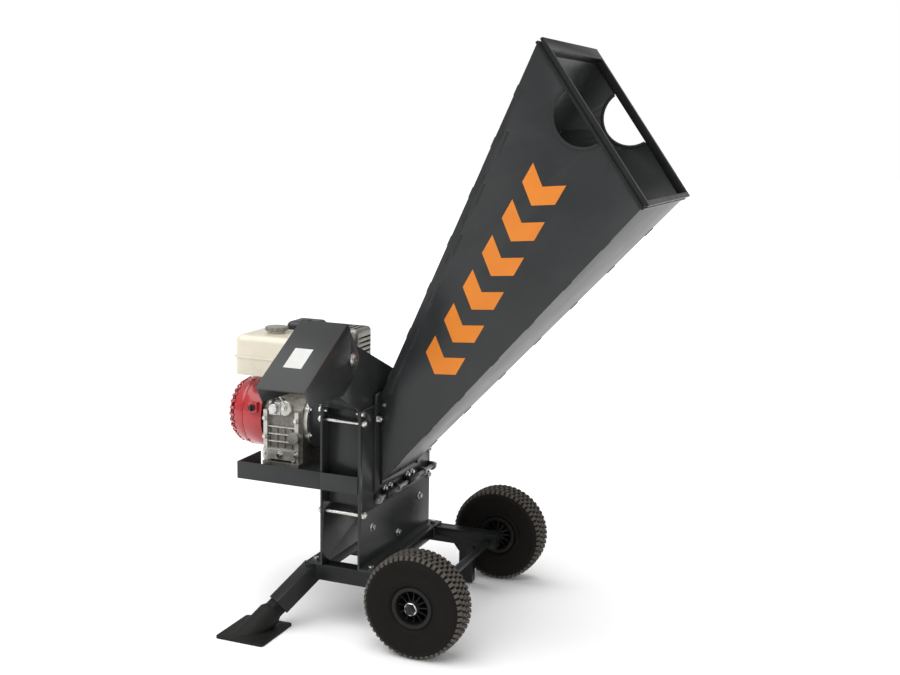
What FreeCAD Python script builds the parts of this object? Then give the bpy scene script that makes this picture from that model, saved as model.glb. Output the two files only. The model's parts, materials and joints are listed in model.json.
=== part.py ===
"""Petrol wood chipper with a disc rotor, tall feed hopper, tilting chip hood and two-wheel stand.

Millimetres, +Z up.  The origin is on the ground, midway between the wheels, below the axle.
+X points to the feed hopper, -X to the engine, -Y to the side that the chips leave by.
"""
import FreeCAD, Part
import math
import os
import Sketcher

Vector = FreeCAD.Vector
doc = FreeCAD.newDocument("wood_chipper")
dims = doc.addObject("Spreadsheet::Sheet", "dims")
sub_parts = []
ALONG_X = FreeCAD.Rotation(Vector(0, 1, 0), 90)
ALONG_Y = FreeCAD.Rotation(Vector(1, 0, 0), -90)
ALONG_Z = FreeCAD.Rotation()
SIDES = (("near", -1), ("far", 1))


class Size:
    """A number with the spreadsheet formula that gives it."""

    def __init__(self, value, formula):
        self.value = float(value)
        self.formula = formula

    def __float__(self):
        return self.value

    def __add__(self, other):
        return Size(self.value + float(other), f"({self.formula} + {formula(other)})")

    def __radd__(self, other):
        return Size(float(other) + self.value, f"({formula(other)} + {self.formula})")

    def __sub__(self, other):
        return Size(self.value - float(other), f"({self.formula} - {formula(other)})")

    def __rsub__(self, other):
        return Size(float(other) - self.value, f"({formula(other)} - {self.formula})")

    def __mul__(self, other):
        return Size(self.value * float(other), f"({self.formula} * {formula(other)})")

    __rmul__ = __mul__

    def __truediv__(self, other):
        return Size(self.value / float(other), f"({self.formula} / {formula(other)})")

    def __neg__(self):
        return Size(-self.value, f"(0 - {self.formula})")


def formula(number):
    """The formula text of a Size or a plain number."""
    return number.formula if isinstance(number, Size) else repr(float(number))


def cell(name, value, about):
    """A driving dimension: one row of the spreadsheet, with its alias."""
    cell.row += 1
    dims.set(f"A{cell.row}", about)
    dims.set(f"B{cell.row}", str(value))
    dims.setAlias(f"B{cell.row}", name)
    return Size(value, f"dims.{name}")


cell.row = 0


def bind(feature, **values):
    """Set properties of a feature, bound to the spreadsheet where the value is a Size."""
    for name, number in values.items():
        if isinstance(number, Size):
            feature.setExpression(name, number.formula)
        else:
            setattr(feature, name, number)
    return feature


def place(feature, at, rotation=ALONG_Z):
    """Put a feature at a point made of sizes, turned by a fixed rotation."""
    feature.Placement = FreeCAD.Placement(Vector(*[float(number) for number in at]), rotation)
    for axis, number in zip("xyz", at):
        if isinstance(number, Size):
            feature.setExpression(f".Placement.Base.{axis}", number.formula)
    return feature


def block(low, size):
    """A box from its lowest corner and its three sizes."""
    box = bind(doc.addObject("Part::Box", "block"), Length=size[0], Width=size[1], Height=size[2])
    return place(box, low)


def rod(radius, length, at, rotation=ALONG_Z):
    """A round bar that starts at a point."""
    bar = bind(doc.addObject("Part::Cylinder", "rod"), Radius=radius, Height=length)
    return place(bar, at, rotation)


def hexagon(across, length, at, rotation=ALONG_Z):
    """A six-sided bar, such as a nut or a bolt head, by its size across flats."""
    bar = bind(doc.addObject("Part::Prism", "hexagon"), Circumradius=across / math.sqrt(3), Height=length)
    bar.Polygon = 6
    return place(bar, at, rotation)


def ball(radius, at):
    """A sphere about a point."""
    return place(bind(doc.addObject("Part::Sphere", "ball"), Radius=radius), at)


def join(*features):
    """One solid made of several."""
    fused = doc.addObject("Part::MultiFuse", "join")
    fused.Shapes = list(features)
    fused.Refine = True
    return fused


def group(*features):
    """Separate solids kept together."""
    together = doc.addObject("Part::Compound", "group")
    together.Links = list(features)
    return together


def cut(base, *tools):
    """A solid less one or more others."""
    rest = doc.addObject("Part::Cut", "cut")
    rest.Base = base
    rest.Tool = tools[0] if len(tools) == 1 else group(*tools)
    return rest


def pipe(radius, bore, length, at, rotation=ALONG_Z):
    """A round tube."""
    return cut(rod(radius, length, at, rotation), rod(bore, length, at, rotation))


def draw(sketch, corners):
    """Add a closed outline; a corner is (across, up) or (across, up, radius of the arc after it)."""
    spots = [Vector(float(corner[0]), float(corner[1]), 0) for corner in corners]
    first = sketch.GeometryCount
    for index, corner in enumerate(corners):
        start = spots[index]
        end = spots[(index + 1) % len(spots)]
        if len(corner) == 2:
            sketch.addGeometry(Part.LineSegment(start, end))
            continue
        chord = end - start
        radius = float(corner[2])
        rise = abs(radius) - math.sqrt(max(radius * radius - chord.Length ** 2 / 4, 0))
        bulge = Vector(chord.y, -chord.x, 0).normalize() * math.copysign(rise, radius)
        sketch.addGeometry(Part.Arc(start, (start + end) / 2 + bulge, end))
    for index, corner in enumerate(corners):
        edge = first + index
        following = first + (index + 1) % len(corners)
        begin = start_point(sketch, edge, spots[index])
        finish = 3 - begin
        next_begin = start_point(sketch, following, spots[(index + 1) % len(corners)])
        sketch.addConstraint(Sketcher.Constraint("Coincident", edge, finish, following, next_begin))
        for kind, number in (("DistanceX", corner[0]), ("DistanceY", corner[1])):
            row = sketch.addConstraint(Sketcher.Constraint(kind, -1, 1, edge, begin, float(number)))
            if isinstance(number, Size):
                sketch.setExpression(f"Constraints[{row}]", number.formula)
        if len(corner) == 3:
            row = sketch.addConstraint(Sketcher.Constraint("Radius", edge, abs(float(corner[2]))))
            if isinstance(corner[2], Size):
                sketch.setExpression(f"Constraints[{row}]", f"abs({corner[2].formula})")


def start_point(sketch, edge, spot):
    """The number, 1 or 2, of the end of an edge that lies at a spot."""
    return 1 if (sketch.getPoint(edge, 1) - spot).Length < (sketch.getPoint(edge, 2) - spot).Length else 2


def sketched(kind, plane, outlines):
    """A body with one sketch on an origin plane and one feature of a kind made from it."""
    body = doc.addObject("PartDesign::Body", "body")
    sketch = body.newObject("Sketcher::SketchObject", "sketch")
    role = f"{plane}_Plane"
    sketch.AttachmentSupport = [item for item in body.Origin.OriginFeatures if item.Role == role][0]
    sketch.MapMode = "FlatFace"
    for corners in outlines:
        draw(sketch, corners)
    feature = body.newObject(kind, "feature")
    feature.Profile = sketch
    return body, sketch, feature


def pad(plane, length, at, *outlines):
    """A plate: an outline, then any holes, drawn on YZ (across Y), XZ (across X) or XY, and padded."""
    body, sketch, feature = sketched("PartDesign::Pad", plane, outlines)
    bind(feature, Length=length)
    feature.Reversed = plane == "XZ"
    return place(body, at)


def turned(at, corners, rotation=ALONG_Z):
    """A turned piece: an outline of (radius, height) corners spun about the upright axis."""
    body, sketch, feature = sketched("PartDesign::Revolution", "XZ", [corners])
    feature.ReferenceAxis = (sketch, ["V_Axis"])
    feature.Angle = 360
    return place(body, at, rotation)


def rectangle(left, bottom, right, top):
    """Corners of an upright rectangle."""
    return [(left, bottom), (right, bottom), (right, top), (left, top)]


def slab(points, thickness):
    """A flat sheet: a plane outline in space, thickened along its normal."""
    corners = [Vector(*[float(number) for number in point]) for point in points]
    normal = (corners[1] - corners[0]).cross(corners[2] - corners[1]).normalize()
    return Part.Face(Part.makePolygon(corners + corners[:1])).extrude(normal * float(thickness))


def shaped(shape):
    """A feature that holds a ready shape."""
    feature = doc.addObject("Part::Feature", "shaped")
    feature.Shape = shape
    return feature


def sub_part(label, feature):
    """Name a finished sub-part and list it for export."""
    feature.Label = label
    sub_parts.append(feature)
    return feature


# ---- driving dimensions -------------------------------------------------------------------

# running gear
wheel_radius = cell("wheel_radius", 130, "tyre radius over the tread")
wheel_width = cell("wheel_width", 88, "tyre width")
wheel_offset = cell("wheel_offset", 293, "middle plane of a wheel from the centre plane")
rim_radius = cell("rim_radius", 50, "seat of the tyre on the rim")
rim_wall = cell("rim_wall", 8, "rim ring thickness")
hub_radius = cell("hub_radius", 17, "wheel hub radius")
hub_length = cell("hub_length", 62, "wheel hub length along the axle")
axle_radius = cell("axle_radius", 10, "axle radius")
running_gap = cell("running_gap", 0.08, "radial clearance of a running fit")
end_gap = cell("end_gap", 0.5, "end clearance beside a moving piece")

# stand
beam_size = cell("beam_size", 40, "side beam square size")
beam_wall = cell("beam_wall", 3, "side beam wall")
beam_offset = cell("beam_offset", 200, "side beam middle from the centre plane")
beam_bottom = cell("beam_bottom", 116, "underside of the side beams")
beam_overhang = cell("beam_overhang", 44, "side beams in front of the housing")
beam_tail = cell("beam_tail", 24, "side beams behind the axle")
cross_size = cell("cross_size", 30, "cross-beam square size")
post_width = cell("post_width", 40, "rest post width")
post_depth = cell("post_depth", 25, "rest post depth")
post_place = cell("post_place", 64, "rest post middle ahead of the axle")
post_lift = cell("post_lift", 6, "rest post clear of the ground")
leg_size = cell("leg_size", 44, "leg sleeve square size")
leg_wall = cell("leg_wall", 4, "leg sleeve wall")
leg_slack = cell("leg_slack", 0.1, "gap between leg sleeve and stem on each side")
sleeve_length = cell("sleeve_length", 128, "leg sleeve length from the beam middle")
stem_start = cell("stem_start", 84, "top of the leg stem from the beam middle")
foot_ahead = cell("foot_ahead", 80, "foot plate middle ahead of the side beams")
foot_y = cell("foot_y", 338, "foot plate middle from the centre plane")
foot_length = cell("foot_length", 134, "foot plate along the machine")
foot_width = cell("foot_width", 150, "foot plate across the machine")
foot_thickness = cell("foot_thickness", 6, "foot plate thickness")
socket_radius = cell("socket_radius", 31, "foot socket radius")

# rotor housing
plate_half = cell("plate_half", 221, "half width of the housing plates")
plate_thickness = cell("plate_thickness", 5, "housing plate thickness")
plate_front = cell("plate_front", 191, "outer face of the hopper-side plate ahead of the axle")
housing_depth = cell("housing_depth", 110, "housing plates, outer face to outer face")
housing_top = cell("housing_top", 566, "top of the housing plates")
shoulder_height = cell("shoulder_height", 391, "top of the square part on the far side")
shaft_height = cell("shaft_height", 482, "rotor and engine shaft height")
band_radius = cell("band_radius", 165, "inside radius of the chamber band")
band_wall = cell("band_wall", 4, "chamber band thickness")
near_wall = cell("near_wall", 180, "inside face of the flat chamber wall from the centre plane")
foot_flange = cell("foot_flange", 45, "folded foot flange width")
window_half = cell("window_half", 100, "half width of the feed window")
window_bottom = cell("window_bottom", 362, "bottom of the feed window")
window_top = cell("window_top", 440, "top of the feed window")
rod_radius = cell("rod_radius", 5, "spacer rod radius")

# rotor
disc_radius = cell("disc_radius", 125, "rotor disc radius")
disc_thickness = cell("disc_thickness", 12, "rotor disc thickness")
disc_setback = cell("disc_setback", 29, "rotor disc face behind the hopper-side plate's outer face")
blade_height = cell("blade_height", 6, "blade thickness")
knife_gap = cell("knife_gap", 1.5, "gap between blades and bed knife")
shaft_radius = cell("shaft_radius", 15, "rotor shaft radius")
crank_radius = cell("crank_radius", 10, "engine crankshaft radius")

# chip chute and hood
chute_wall = cell("chute_wall", 3, "chute and hood sheet thickness")
hood_spare = cell("hood_spare", 15, "hood outside width over that of the housing")
pivot_y = cell("pivot_y", 284, "hood pivot from the centre plane")
pivot_z = cell("pivot_z", 709, "hood pivot height")

# hopper
hopper_wall = cell("hopper_wall", 3, "hopper sheet thickness")
mouth_half = cell("mouth_half", 218, "half width of the hopper mouth")
mouth_depth = cell("mouth_depth", 432, "hopper mouth from its top edge to its bottom edge")
mouth_lean = cell("mouth_lean", 54.6, "lean of the mouth edge below level, degrees")
mouth_top_x = cell("mouth_top_x", 250.3, "outer top edge of the mouth behind the axle")
mouth_top_z = cell("mouth_top_z", 1453.7, "outer top edge of the mouth, height")
rim_depth = cell("rim_depth", 20, "depth of the channel round the mouth")
throat_half = cell("throat_half", 118, "half width of the hopper throat at its middle")
throat_bottom = cell("throat_bottom", 358, "bottom of the hopper throat")
throat_top = cell("throat_top", 579, "top of the hopper throat")
flange_wall = cell("flange_wall", 5, "throat flange thickness")
flange_gap = cell("flange_gap", 0.5, "gap between throat flange and housing")
hinge_x = cell("hinge_x", 178, "hopper hinge pin ahead of the axle")
hinge_z = cell("hinge_z", 322, "hopper hinge pin height")
hinge_radius = cell("hinge_radius", 6, "hopper hinge pin radius")

# engine
tray_wall = cell("tray_wall", 4, "engine tray sheet thickness")
tray_rim = cell("tray_rim", 45, "engine tray height over all")
base_drop = cell("base_drop", 123, "engine shaft above its base")
coupling_space = cell("coupling_space", 129, "housing to the drive side of the crankcase")
case_length = cell("case_length", 115, "crankcase, drive side to fan side")
tray_length = cell("tray_length", 239, "engine tray, housing to front edge")
fan_radius = cell("fan_radius", 95, "fan cover radius")

plate_x = -plate_front
engine_plate_x = plate_x - housing_depth
case_back = plate_front + housing_depth + coupling_space
case_front = case_back + case_length
tray_reach = plate_front + housing_depth + tray_length
beam_reach = plate_front + housing_depth + beam_overhang
foot_x = beam_reach + foot_ahead
hood_width = housing_depth + hood_spare
beam_top = beam_bottom + beam_size
base_height = shaft_height - base_drop
axle_height = wheel_radius


# ---- wheels and stand ---------------------------------------------------------------------

def tyre(side):
    """Fat pneumatic tyre, turned about the axle."""
    half = wheel_width / 2
    tread = half - 14
    shoulder = half - 4
    crown = wheel_radius
    outline = [(rim_radius, -(half - 16)), (rim_radius + 14, -shoulder)]
    outline += [(crown - 24, -half), (crown - 6, -shoulder)]
    outline += [(crown, -tread), (crown, tread)]
    outline += [(across, -up) for across, up in reversed(outline[:4])]
    return turned((0, side * wheel_offset, axle_height), outline, ALONG_Y)


def rim(side):
    """Moulded rim: ring, web with ribs and a plain-bearing hub."""
    middle = side * wheel_offset
    half = wheel_width / 2 - 14
    rib_length = hub_length - 20
    ring = pipe(rim_radius, rim_radius - rim_wall, half * 2, (0, middle - half, axle_height), ALONG_Y)
    web = rod(rim_radius - rim_wall / 2, 6, (0, middle - 3, axle_height), ALONG_Y)
    hub_start = (0, middle - hub_length / 2, axle_height)
    ribs = []
    for index in range(10):
        rib_reach = rim_radius - rim_wall / 2
        rib = bind(doc.addObject("Part::Box", "rib"), Length=rib_reach, Width=4, Height=rib_length)
        turn = FreeCAD.Rotation(Vector(0, 0, 1), 18 + index * 36)
        rib.Placement = FreeCAD.Placement(turn.multVec(Vector(0, -2, 0)), turn)
        ribs.append(rib)
    spider = place(join(*ribs), (0, middle - rib_length / 2, axle_height), ALONG_Y)
    solid = join(ring, web, rod(hub_radius, hub_length, hub_start, ALONG_Y), spider)
    return cut(solid, rod(axle_radius + running_gap, hub_length, hub_start, ALONG_Y))


def running_gear():
    """Axle with collars, washers and nuts, and the two wheels."""
    for name, side in SIDES:
        sub_part(f"tyre_{name}", tyre(side))
        sub_part(f"rim_{name}", rim(side))
    hub_end = wheel_offset + hub_length / 2
    axle_end = hub_end + 16
    sub_part("axle", rod(axle_radius, axle_end * 2, (0, -axle_end, axle_height), ALONG_Y))
    beam_face = beam_offset + beam_size / 2
    collar_length = wheel_offset - hub_length / 2 - end_gap - beam_face
    collars = []
    for name, side in SIDES:
        for start, length, radius in ((beam_face, collar_length, 15), (hub_end + end_gap, 3, 17)):
            low = start if side > 0 else -start - length
            collars.append(pipe(radius, axle_radius, length, (0, low, axle_height), ALONG_Y))
        low = hub_end + end_gap + 3 if side > 0 else -hub_end - end_gap - 12
        nut = hexagon(27, 9, (0, low, axle_height), ALONG_Y)
        collars.append(cut(nut, rod(axle_radius, 9, (0, low, axle_height), ALONG_Y)))
    sub_part("axle_nuts", group(*collars))


def stand():
    """Side beams, cross-beams and rest posts."""
    beams = []
    posts = []
    for name, side in SIDES:
        middle = side * beam_offset
        low = (-beam_reach, middle - beam_size / 2, beam_bottom)
        beam = block(low, (beam_reach + beam_tail, beam_size, beam_size))
        hollow = block((-beam_reach + beam_wall, middle - beam_size / 2 + beam_wall, beam_bottom + beam_wall),
                       (beam_reach + beam_tail - beam_wall * 2, beam_size - beam_wall * 2,
                        beam_size - beam_wall * 2))
        hole = rod(axle_radius, beam_size, (0, middle - beam_size / 2, axle_height), ALONG_Y)
        bolt_holes = [rod(4.2, 20, (x, middle, beam_top - 15)) for x in flange_middles()]
        beams.append(cut(beam, hollow, hole, *bolt_holes))
        post_front = -post_place - post_width / 2
        post = block((post_front, middle - post_depth / 2, post_lift),
                     (post_width, post_depth, beam_bottom - post_lift))
        gusset = pad("XZ", 6, (0, middle - 3, 0),
                     [(post_front, beam_bottom - 30), (post_front, beam_bottom), (post_front - 26, beam_bottom)])
        posts.append(join(post, gusset))
    sub_part("side_beams", group(*beams))
    sub_part("rest_posts", group(*posts))
    inner = beam_offset - beam_size / 2
    low_z = beam_top - cross_size
    crosses = []
    for left in (plate_x + 4, engine_plate_x - cross_size):
        outer = block((left, -inner, low_z), (cross_size, inner * 2, cross_size))
        inside = block((left + 3, -inner, low_z + 3), (cross_size - 6, inner * 2, cross_size - 6))
        crosses.append(cut(outer, inside))
    sub_part("cross_beams", group(*crosses))


def leg_axis(side):
    """Top point of a leg's axis, inside the beam's end, and the run from there to its foot."""
    top = Vector(-float(beam_reach) + 15, side * float(beam_offset), float(beam_bottom + beam_size / 2))
    foot = Vector(-float(foot_x), side * float(foot_y), float(foot_thickness))
    return top, foot - top


def along_leg(shape, side):
    """Move a shape made along +Z from the origin onto a leg's axis."""
    top, run = leg_axis(side)
    upright = Vector(run).normalize()
    across = upright.cross(Vector(0, 0, 1)).normalize()
    turn = FreeCAD.Rotation(across, upright.cross(across), upright, "ZXY")
    moved = shape.copy()
    moved.Placement = FreeCAD.Placement(top, turn)
    return moved


def square_bar(size, start, length):
    """Square bar about the Z axis."""
    size = float(size)
    return Part.makeBox(size, size, float(length), Vector(-size / 2, -size / 2, float(start)))


def legs():
    """Splayed legs: a sleeve welded to each beam, a sliding stem with its foot, and a locking bolt."""
    sleeves = []
    pins = []
    bore_size = leg_size - leg_wall * 2
    pin_out = float(leg_size) / 2
    pin_in = float(bore_size) / 2
    pin_place = float(sleeve_length) - 16
    for name, side in SIDES:
        run = leg_axis(side)[1].Length
        beam_edge = side * float(beam_offset) - float(beam_size) / 2
        beam_low = Vector(-float(beam_reach), beam_edge, float(beam_bottom))
        beam_box = Part.makeBox(float(beam_reach), float(beam_size), float(beam_size), beam_low)
        tube = square_bar(leg_size, 0, sleeve_length).cut(square_bar(bore_size, 0, sleeve_length))
        pin_hole = Part.makeCylinder(5, pin_out, Vector(pin_in - 1, 0, pin_place), Vector(1, 0, 0))
        sleeve = along_leg(tube.cut(pin_hole), side).cut(beam_box)
        sleeves.append(shaped(max(sleeve.Solids, key=lambda solid: solid.Volume)))
        shank = Part.makeCylinder(5, pin_out - pin_in + 5, Vector(pin_in, 0, pin_place), Vector(1, 0, 0))
        head = Part.makeCylinder(9, 7, Vector(pin_out + 5, 0, pin_place), Vector(1, 0, 0))
        pins.append(shaped(along_leg(shank.fuse(head), side)))
        stem_size = bore_size - leg_slack * 2
        stem = square_bar(stem_size, stem_start, run - float(stem_start) - 10)
        socket_start = float(sleeve_length) + 30
        socket = Part.makeCylinder(float(socket_radius), run - socket_start + 60, Vector(0, 0, socket_start))
        collar = Part.makeCone(24, float(socket_radius), 14, Vector(0, 0, socket_start - 14))
        above = Part.makeBox(600, 600, 600,
                             Vector(-float(foot_x) - 300, side * float(foot_y) - 300, float(foot_thickness)))
        body = along_leg(stem.fuse([socket, collar]), side).common(above)
        sole = Part.makeBox(float(foot_length), float(foot_width), float(foot_thickness),
                            Vector(-float(foot_x + foot_length / 2), side * float(foot_y) - float(foot_width) / 2, 0))
        uprights = [edge for edge in sole.Edges if abs(edge.tangentAt(0).z) > 0.9]
        sub_part(f"leg_foot_{name}", shaped(body.fuse(sole.makeFillet(8, uprights)).removeSplitter()))
    sub_part("leg_sleeves", group(*sleeves))
    sub_part("leg_pins", group(*pins))


# ---- rotor housing ------------------------------------------------------------------------

latch_y = -(throat_half + 17)
latch_z = housing_top - 36


def leg_of_triangle(long_side, other):
    """The third side of a right-angled triangle, as a size."""
    rest = math.sqrt(float(long_side) ** 2 - float(other) ** 2)
    return Size(rest, f"sqrt({formula(long_side)} ^ 2 - {formula(other)} ^ 2)")


def housing_outline():
    """Square foot and near side, with a round shoulder about the rotor on the far side."""
    curve = band_radius + 18
    shoulder = leg_of_triangle(curve, shaft_height - shoulder_height)
    crest = leg_of_triangle(curve, housing_top - shaft_height)
    return [(-plate_half, beam_top), (plate_half, beam_top), (plate_half, shoulder_height),
            (shoulder, shoulder_height, curve), (crest, housing_top), (-plate_half, housing_top)]


def rod_spots():
    """Centres of the spacer rods as (y, z)."""
    edge = plate_half - 15
    return [(-edge, housing_top - 33), (-edge, 297), (edge, 297), (edge, shoulder_height - 20)]


def flange_middles():
    """Lines of the foot flange bolts ahead of the axle."""
    return [plate_x + foot_flange / 2, engine_plate_x - foot_flange / 2]


def flange_holes(middle):
    """Bolt holes down through a foot flange and the side beams."""
    return [rod(4.2, beam_size * 3, (middle, side * beam_offset, beam_bottom - 20)) for name, side in SIDES]


def side_plate(label, inside_x, flange_x, flange_middle, *openings):
    """A housing plate with its foot flange, rod holes and bolt holes."""
    outline = housing_outline()
    holes = [rod(rod_radius, 40, (inside_x - 20, y, z), ALONG_X) for y, z in rod_spots()]
    holes += [rod(4.2, 40, (inside_x - 20, -plate_half + 10, housing_top - 8), ALONG_X)]
    plate = pad("YZ", plate_thickness, (inside_x, 0, 0), outline)
    flange = block((flange_x, -plate_half, beam_top), (foot_flange, plate_half * 2, plate_thickness))
    return sub_part(label, cut(join(plate, flange), *holes, *flange_holes(flange_middle), *openings))


def housing():
    """Two folded side plates held apart by rods, with the chamber band between them."""
    rods = []
    nuts = []
    for y, z in rod_spots():
        rods.append(rod(rod_radius, housing_depth + 24, (engine_plate_x - 12, y, z), ALONG_X))
        for start in (engine_plate_x - 8, plate_x):
            nut = hexagon(17, 8, (start, y, z), ALONG_X)
            nuts.append(cut(nut, rod(rod_radius, 8, (start, y, z), ALONG_X)))
    sub_part("spacer_rods", group(*rods))
    sub_part("rod_nuts", group(*nuts))
    front_inside = plate_x - plate_thickness
    window = block((front_inside - 20, -window_half, window_bottom),
                   (40, window_half * 2, window_top - window_bottom))
    latch_hole = rod(5.5, 40, (front_inside - 20, latch_y, latch_z), ALONG_X)
    side_plate("hopper_side_plate", front_inside, front_inside, plate_x + foot_flange / 2, window, latch_hole)
    shaft_hole = rod(shaft_radius + 9, 40, (engine_plate_x - 20, 0, shaft_height), ALONG_X)
    side_plate("engine_side_plate", engine_plate_x, engine_plate_x + plate_thickness - foot_flange,
               engine_plate_x - foot_flange / 2, shaft_hole)
    outer = band_radius + band_wall
    floor = shaft_height - band_radius
    inner_crest = leg_of_triangle(band_radius, housing_top - shaft_height)
    outer_crest = leg_of_triangle(outer, housing_top - shaft_height)
    band = [(-near_wall - band_wall, housing_top), (-near_wall - band_wall, floor - band_wall),
            (0, floor - band_wall, outer), (outer, shaft_height, outer), (outer_crest, housing_top),
            (inner_crest, housing_top, -band_radius), (band_radius, shaft_height, -band_radius),
            (0, floor), (-near_wall, floor), (-near_wall, housing_top)]
    sub_part("chamber_band", pad("YZ", housing_depth - plate_thickness * 2,
                                 (engine_plate_x + plate_thickness, 0, 0), band))
    bolts = []
    for middle in flange_middles():
        for name, side in SIDES:
            y = side * beam_offset
            shank = rod(4.2, plate_thickness + 12, (middle, y, beam_top - 12))
            bolts.append(join(shank, hexagon(13, 6, (middle, y, beam_top + plate_thickness))))
    for x, length in ((plate_x, 7), (engine_plate_x - 7, 7)):
        shank_x = x - plate_thickness - chute_wall - 6 if x is plate_x else x
        shank = rod(4.2, 7 + plate_thickness + chute_wall + 6, (shank_x, -plate_half + 10, housing_top - 8), ALONG_X)
        bolts.append(join(shank, hexagon(13, length, (x, -plate_half + 10, housing_top - 8), ALONG_X)))
    sub_part("frame_bolts", group(*bolts))


def engine_tray():
    """Shallow pan that carries the engine, welded to the engine-side plate."""
    length = tray_reach - plate_front - housing_depth
    bottom = base_height - tray_wall
    half = plate_half + tray_wall
    pan = block((-tray_reach, -half, bottom), (length, half * 2, tray_rim))
    hollow = block((-tray_reach + tray_wall, -plate_half, base_height), (length, plate_half * 2, tray_rim))
    notch = block((-tray_reach - 1, -112, base_height), (tray_wall + 2, 224, tray_rim))
    slots = [rod(4.2, 20, (x, y, bottom - 8)) for x, y in engine_bolt_spots()]
    sub_part("engine_tray", cut(pan, hollow, notch, *slots))
    front_wall = block((engine_plate_x, -half, bottom), (housing_depth - plate_thickness, tray_wall, tray_rim))
    shelf = block((engine_plate_x + plate_thickness, -plate_half, bottom),
                  (housing_depth - plate_thickness * 2, plate_half - near_wall - band_wall, tray_wall))
    sub_part("chamber_apron", join(front_wall, shelf))


def engine_bolt_spots():
    """Engine mounting bolts as (x, y)."""
    return [(-case_back - depth, y) for depth in (20, 95) for y in (-91, 91)]


# ---- rotor --------------------------------------------------------------------------------

def rotor():
    """Disc with blades and paddles on a shaft that the engine turns, and the fixed parts about it."""
    face = plate_x - disc_setback
    back = face - disc_thickness
    middle = (back, 0, shaft_height)
    disc = rod(disc_radius, disc_thickness, middle, ALONG_X)
    bolt_spots = [(side * reach, 26) for side in (-1, 1) for reach in (58, 98)]
    holes = [rod(4.5, 60, (back - 20, y, shaft_height + z * (1 if y > 0 else -1)), ALONG_X) for y, z in bolt_spots]
    sub_part("rotor_disc", cut(disc, rod(shaft_radius, 60, (back - 20, 0, shaft_height), ALONG_X), *holes))
    blades = []
    bolts = []
    for y, z in bolt_spots[::2]:
        side = 1 if y > 0 else -1
        low_z = shaft_height + 10 if side > 0 else shaft_height - 42
        blade = block((face, 40 if side > 0 else -114, low_z), (blade_height, 74, 32))
        blades.append(cut(blade, *holes))
    sub_part("rotor_blades", group(*blades))
    for y, z in bolt_spots:
        spot_z = shaft_height + z * (1 if y > 0 else -1)
        nut = hexagon(15, 7, (back - 7, y, spot_z), ALONG_X)
        bolts.append(join(rod(4.5, disc_thickness + blade_height, (back, y, spot_z), ALONG_X), nut))
    sub_part("blade_bolts", group(*bolts))
    paddle_length = float(housing_depth - plate_thickness - disc_setback - disc_thickness) - 8
    paddles = []
    for index in range(4):
        paddle = bind(doc.addObject("Part::Box", "paddle"), Width=6, Height=disc_radius - 50, Length=paddle_length)
        turn = FreeCAD.Rotation(Vector(1, 0, 0), index * 90)
        offset = turn.multVec(Vector(0, -3, 48))
        place(paddle, (back - paddle_length, offset.y, shaft_height + offset.z), turn)
        paddles.append(paddle)
    sub_part("fan_paddles", group(*paddles))
    coupling_x = -case_back + 30
    crank_end = -case_back + 68
    shaft = join(rod(shaft_radius, face + 8 - coupling_x - 40, (coupling_x + 40, 0, shaft_height), ALONG_X),
                 rod(45, 12, (back - 12, 0, shaft_height), ALONG_X),
                 rod(22, 66, (coupling_x, 0, shaft_height), ALONG_X))
    socket = rod(crank_radius, crank_end - coupling_x, (coupling_x, 0, shaft_height), ALONG_X)
    sub_part("rotor_shaft", cut(shaft, socket))
    bearing_bore = rod(shaft_radius + running_gap, 60, (engine_plate_x - 40, 0, shaft_height), ALONG_X)
    flange = block((engine_plate_x - 10, -45, shaft_height - 45), (10, 90, 90))
    sub_part("shaft_bearing", cut(join(flange, rod(34, 20, (engine_plate_x - 20, 0, shaft_height), ALONG_X)),
                                  bearing_bore))
    knife_front = face + blade_height + knife_gap
    sub_part("bed_knife", block((knife_front, -window_half + 12, window_bottom - 14),
                                (plate_x - plate_thickness - knife_front, window_half * 2 - 24, 14)))
    guard_x = -case_back + 17
    guard = block((guard_x, -64, shaft_height - 64), (engine_plate_x - guard_x, 128, 128))
    inner = block((guard_x, -62, shaft_height - 64), (engine_plate_x - guard_x, 124, 126))
    sub_part("coupling_guard", cut(guard, inner))


# ---- chip chute and hood ------------------------------------------------------------------

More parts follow.
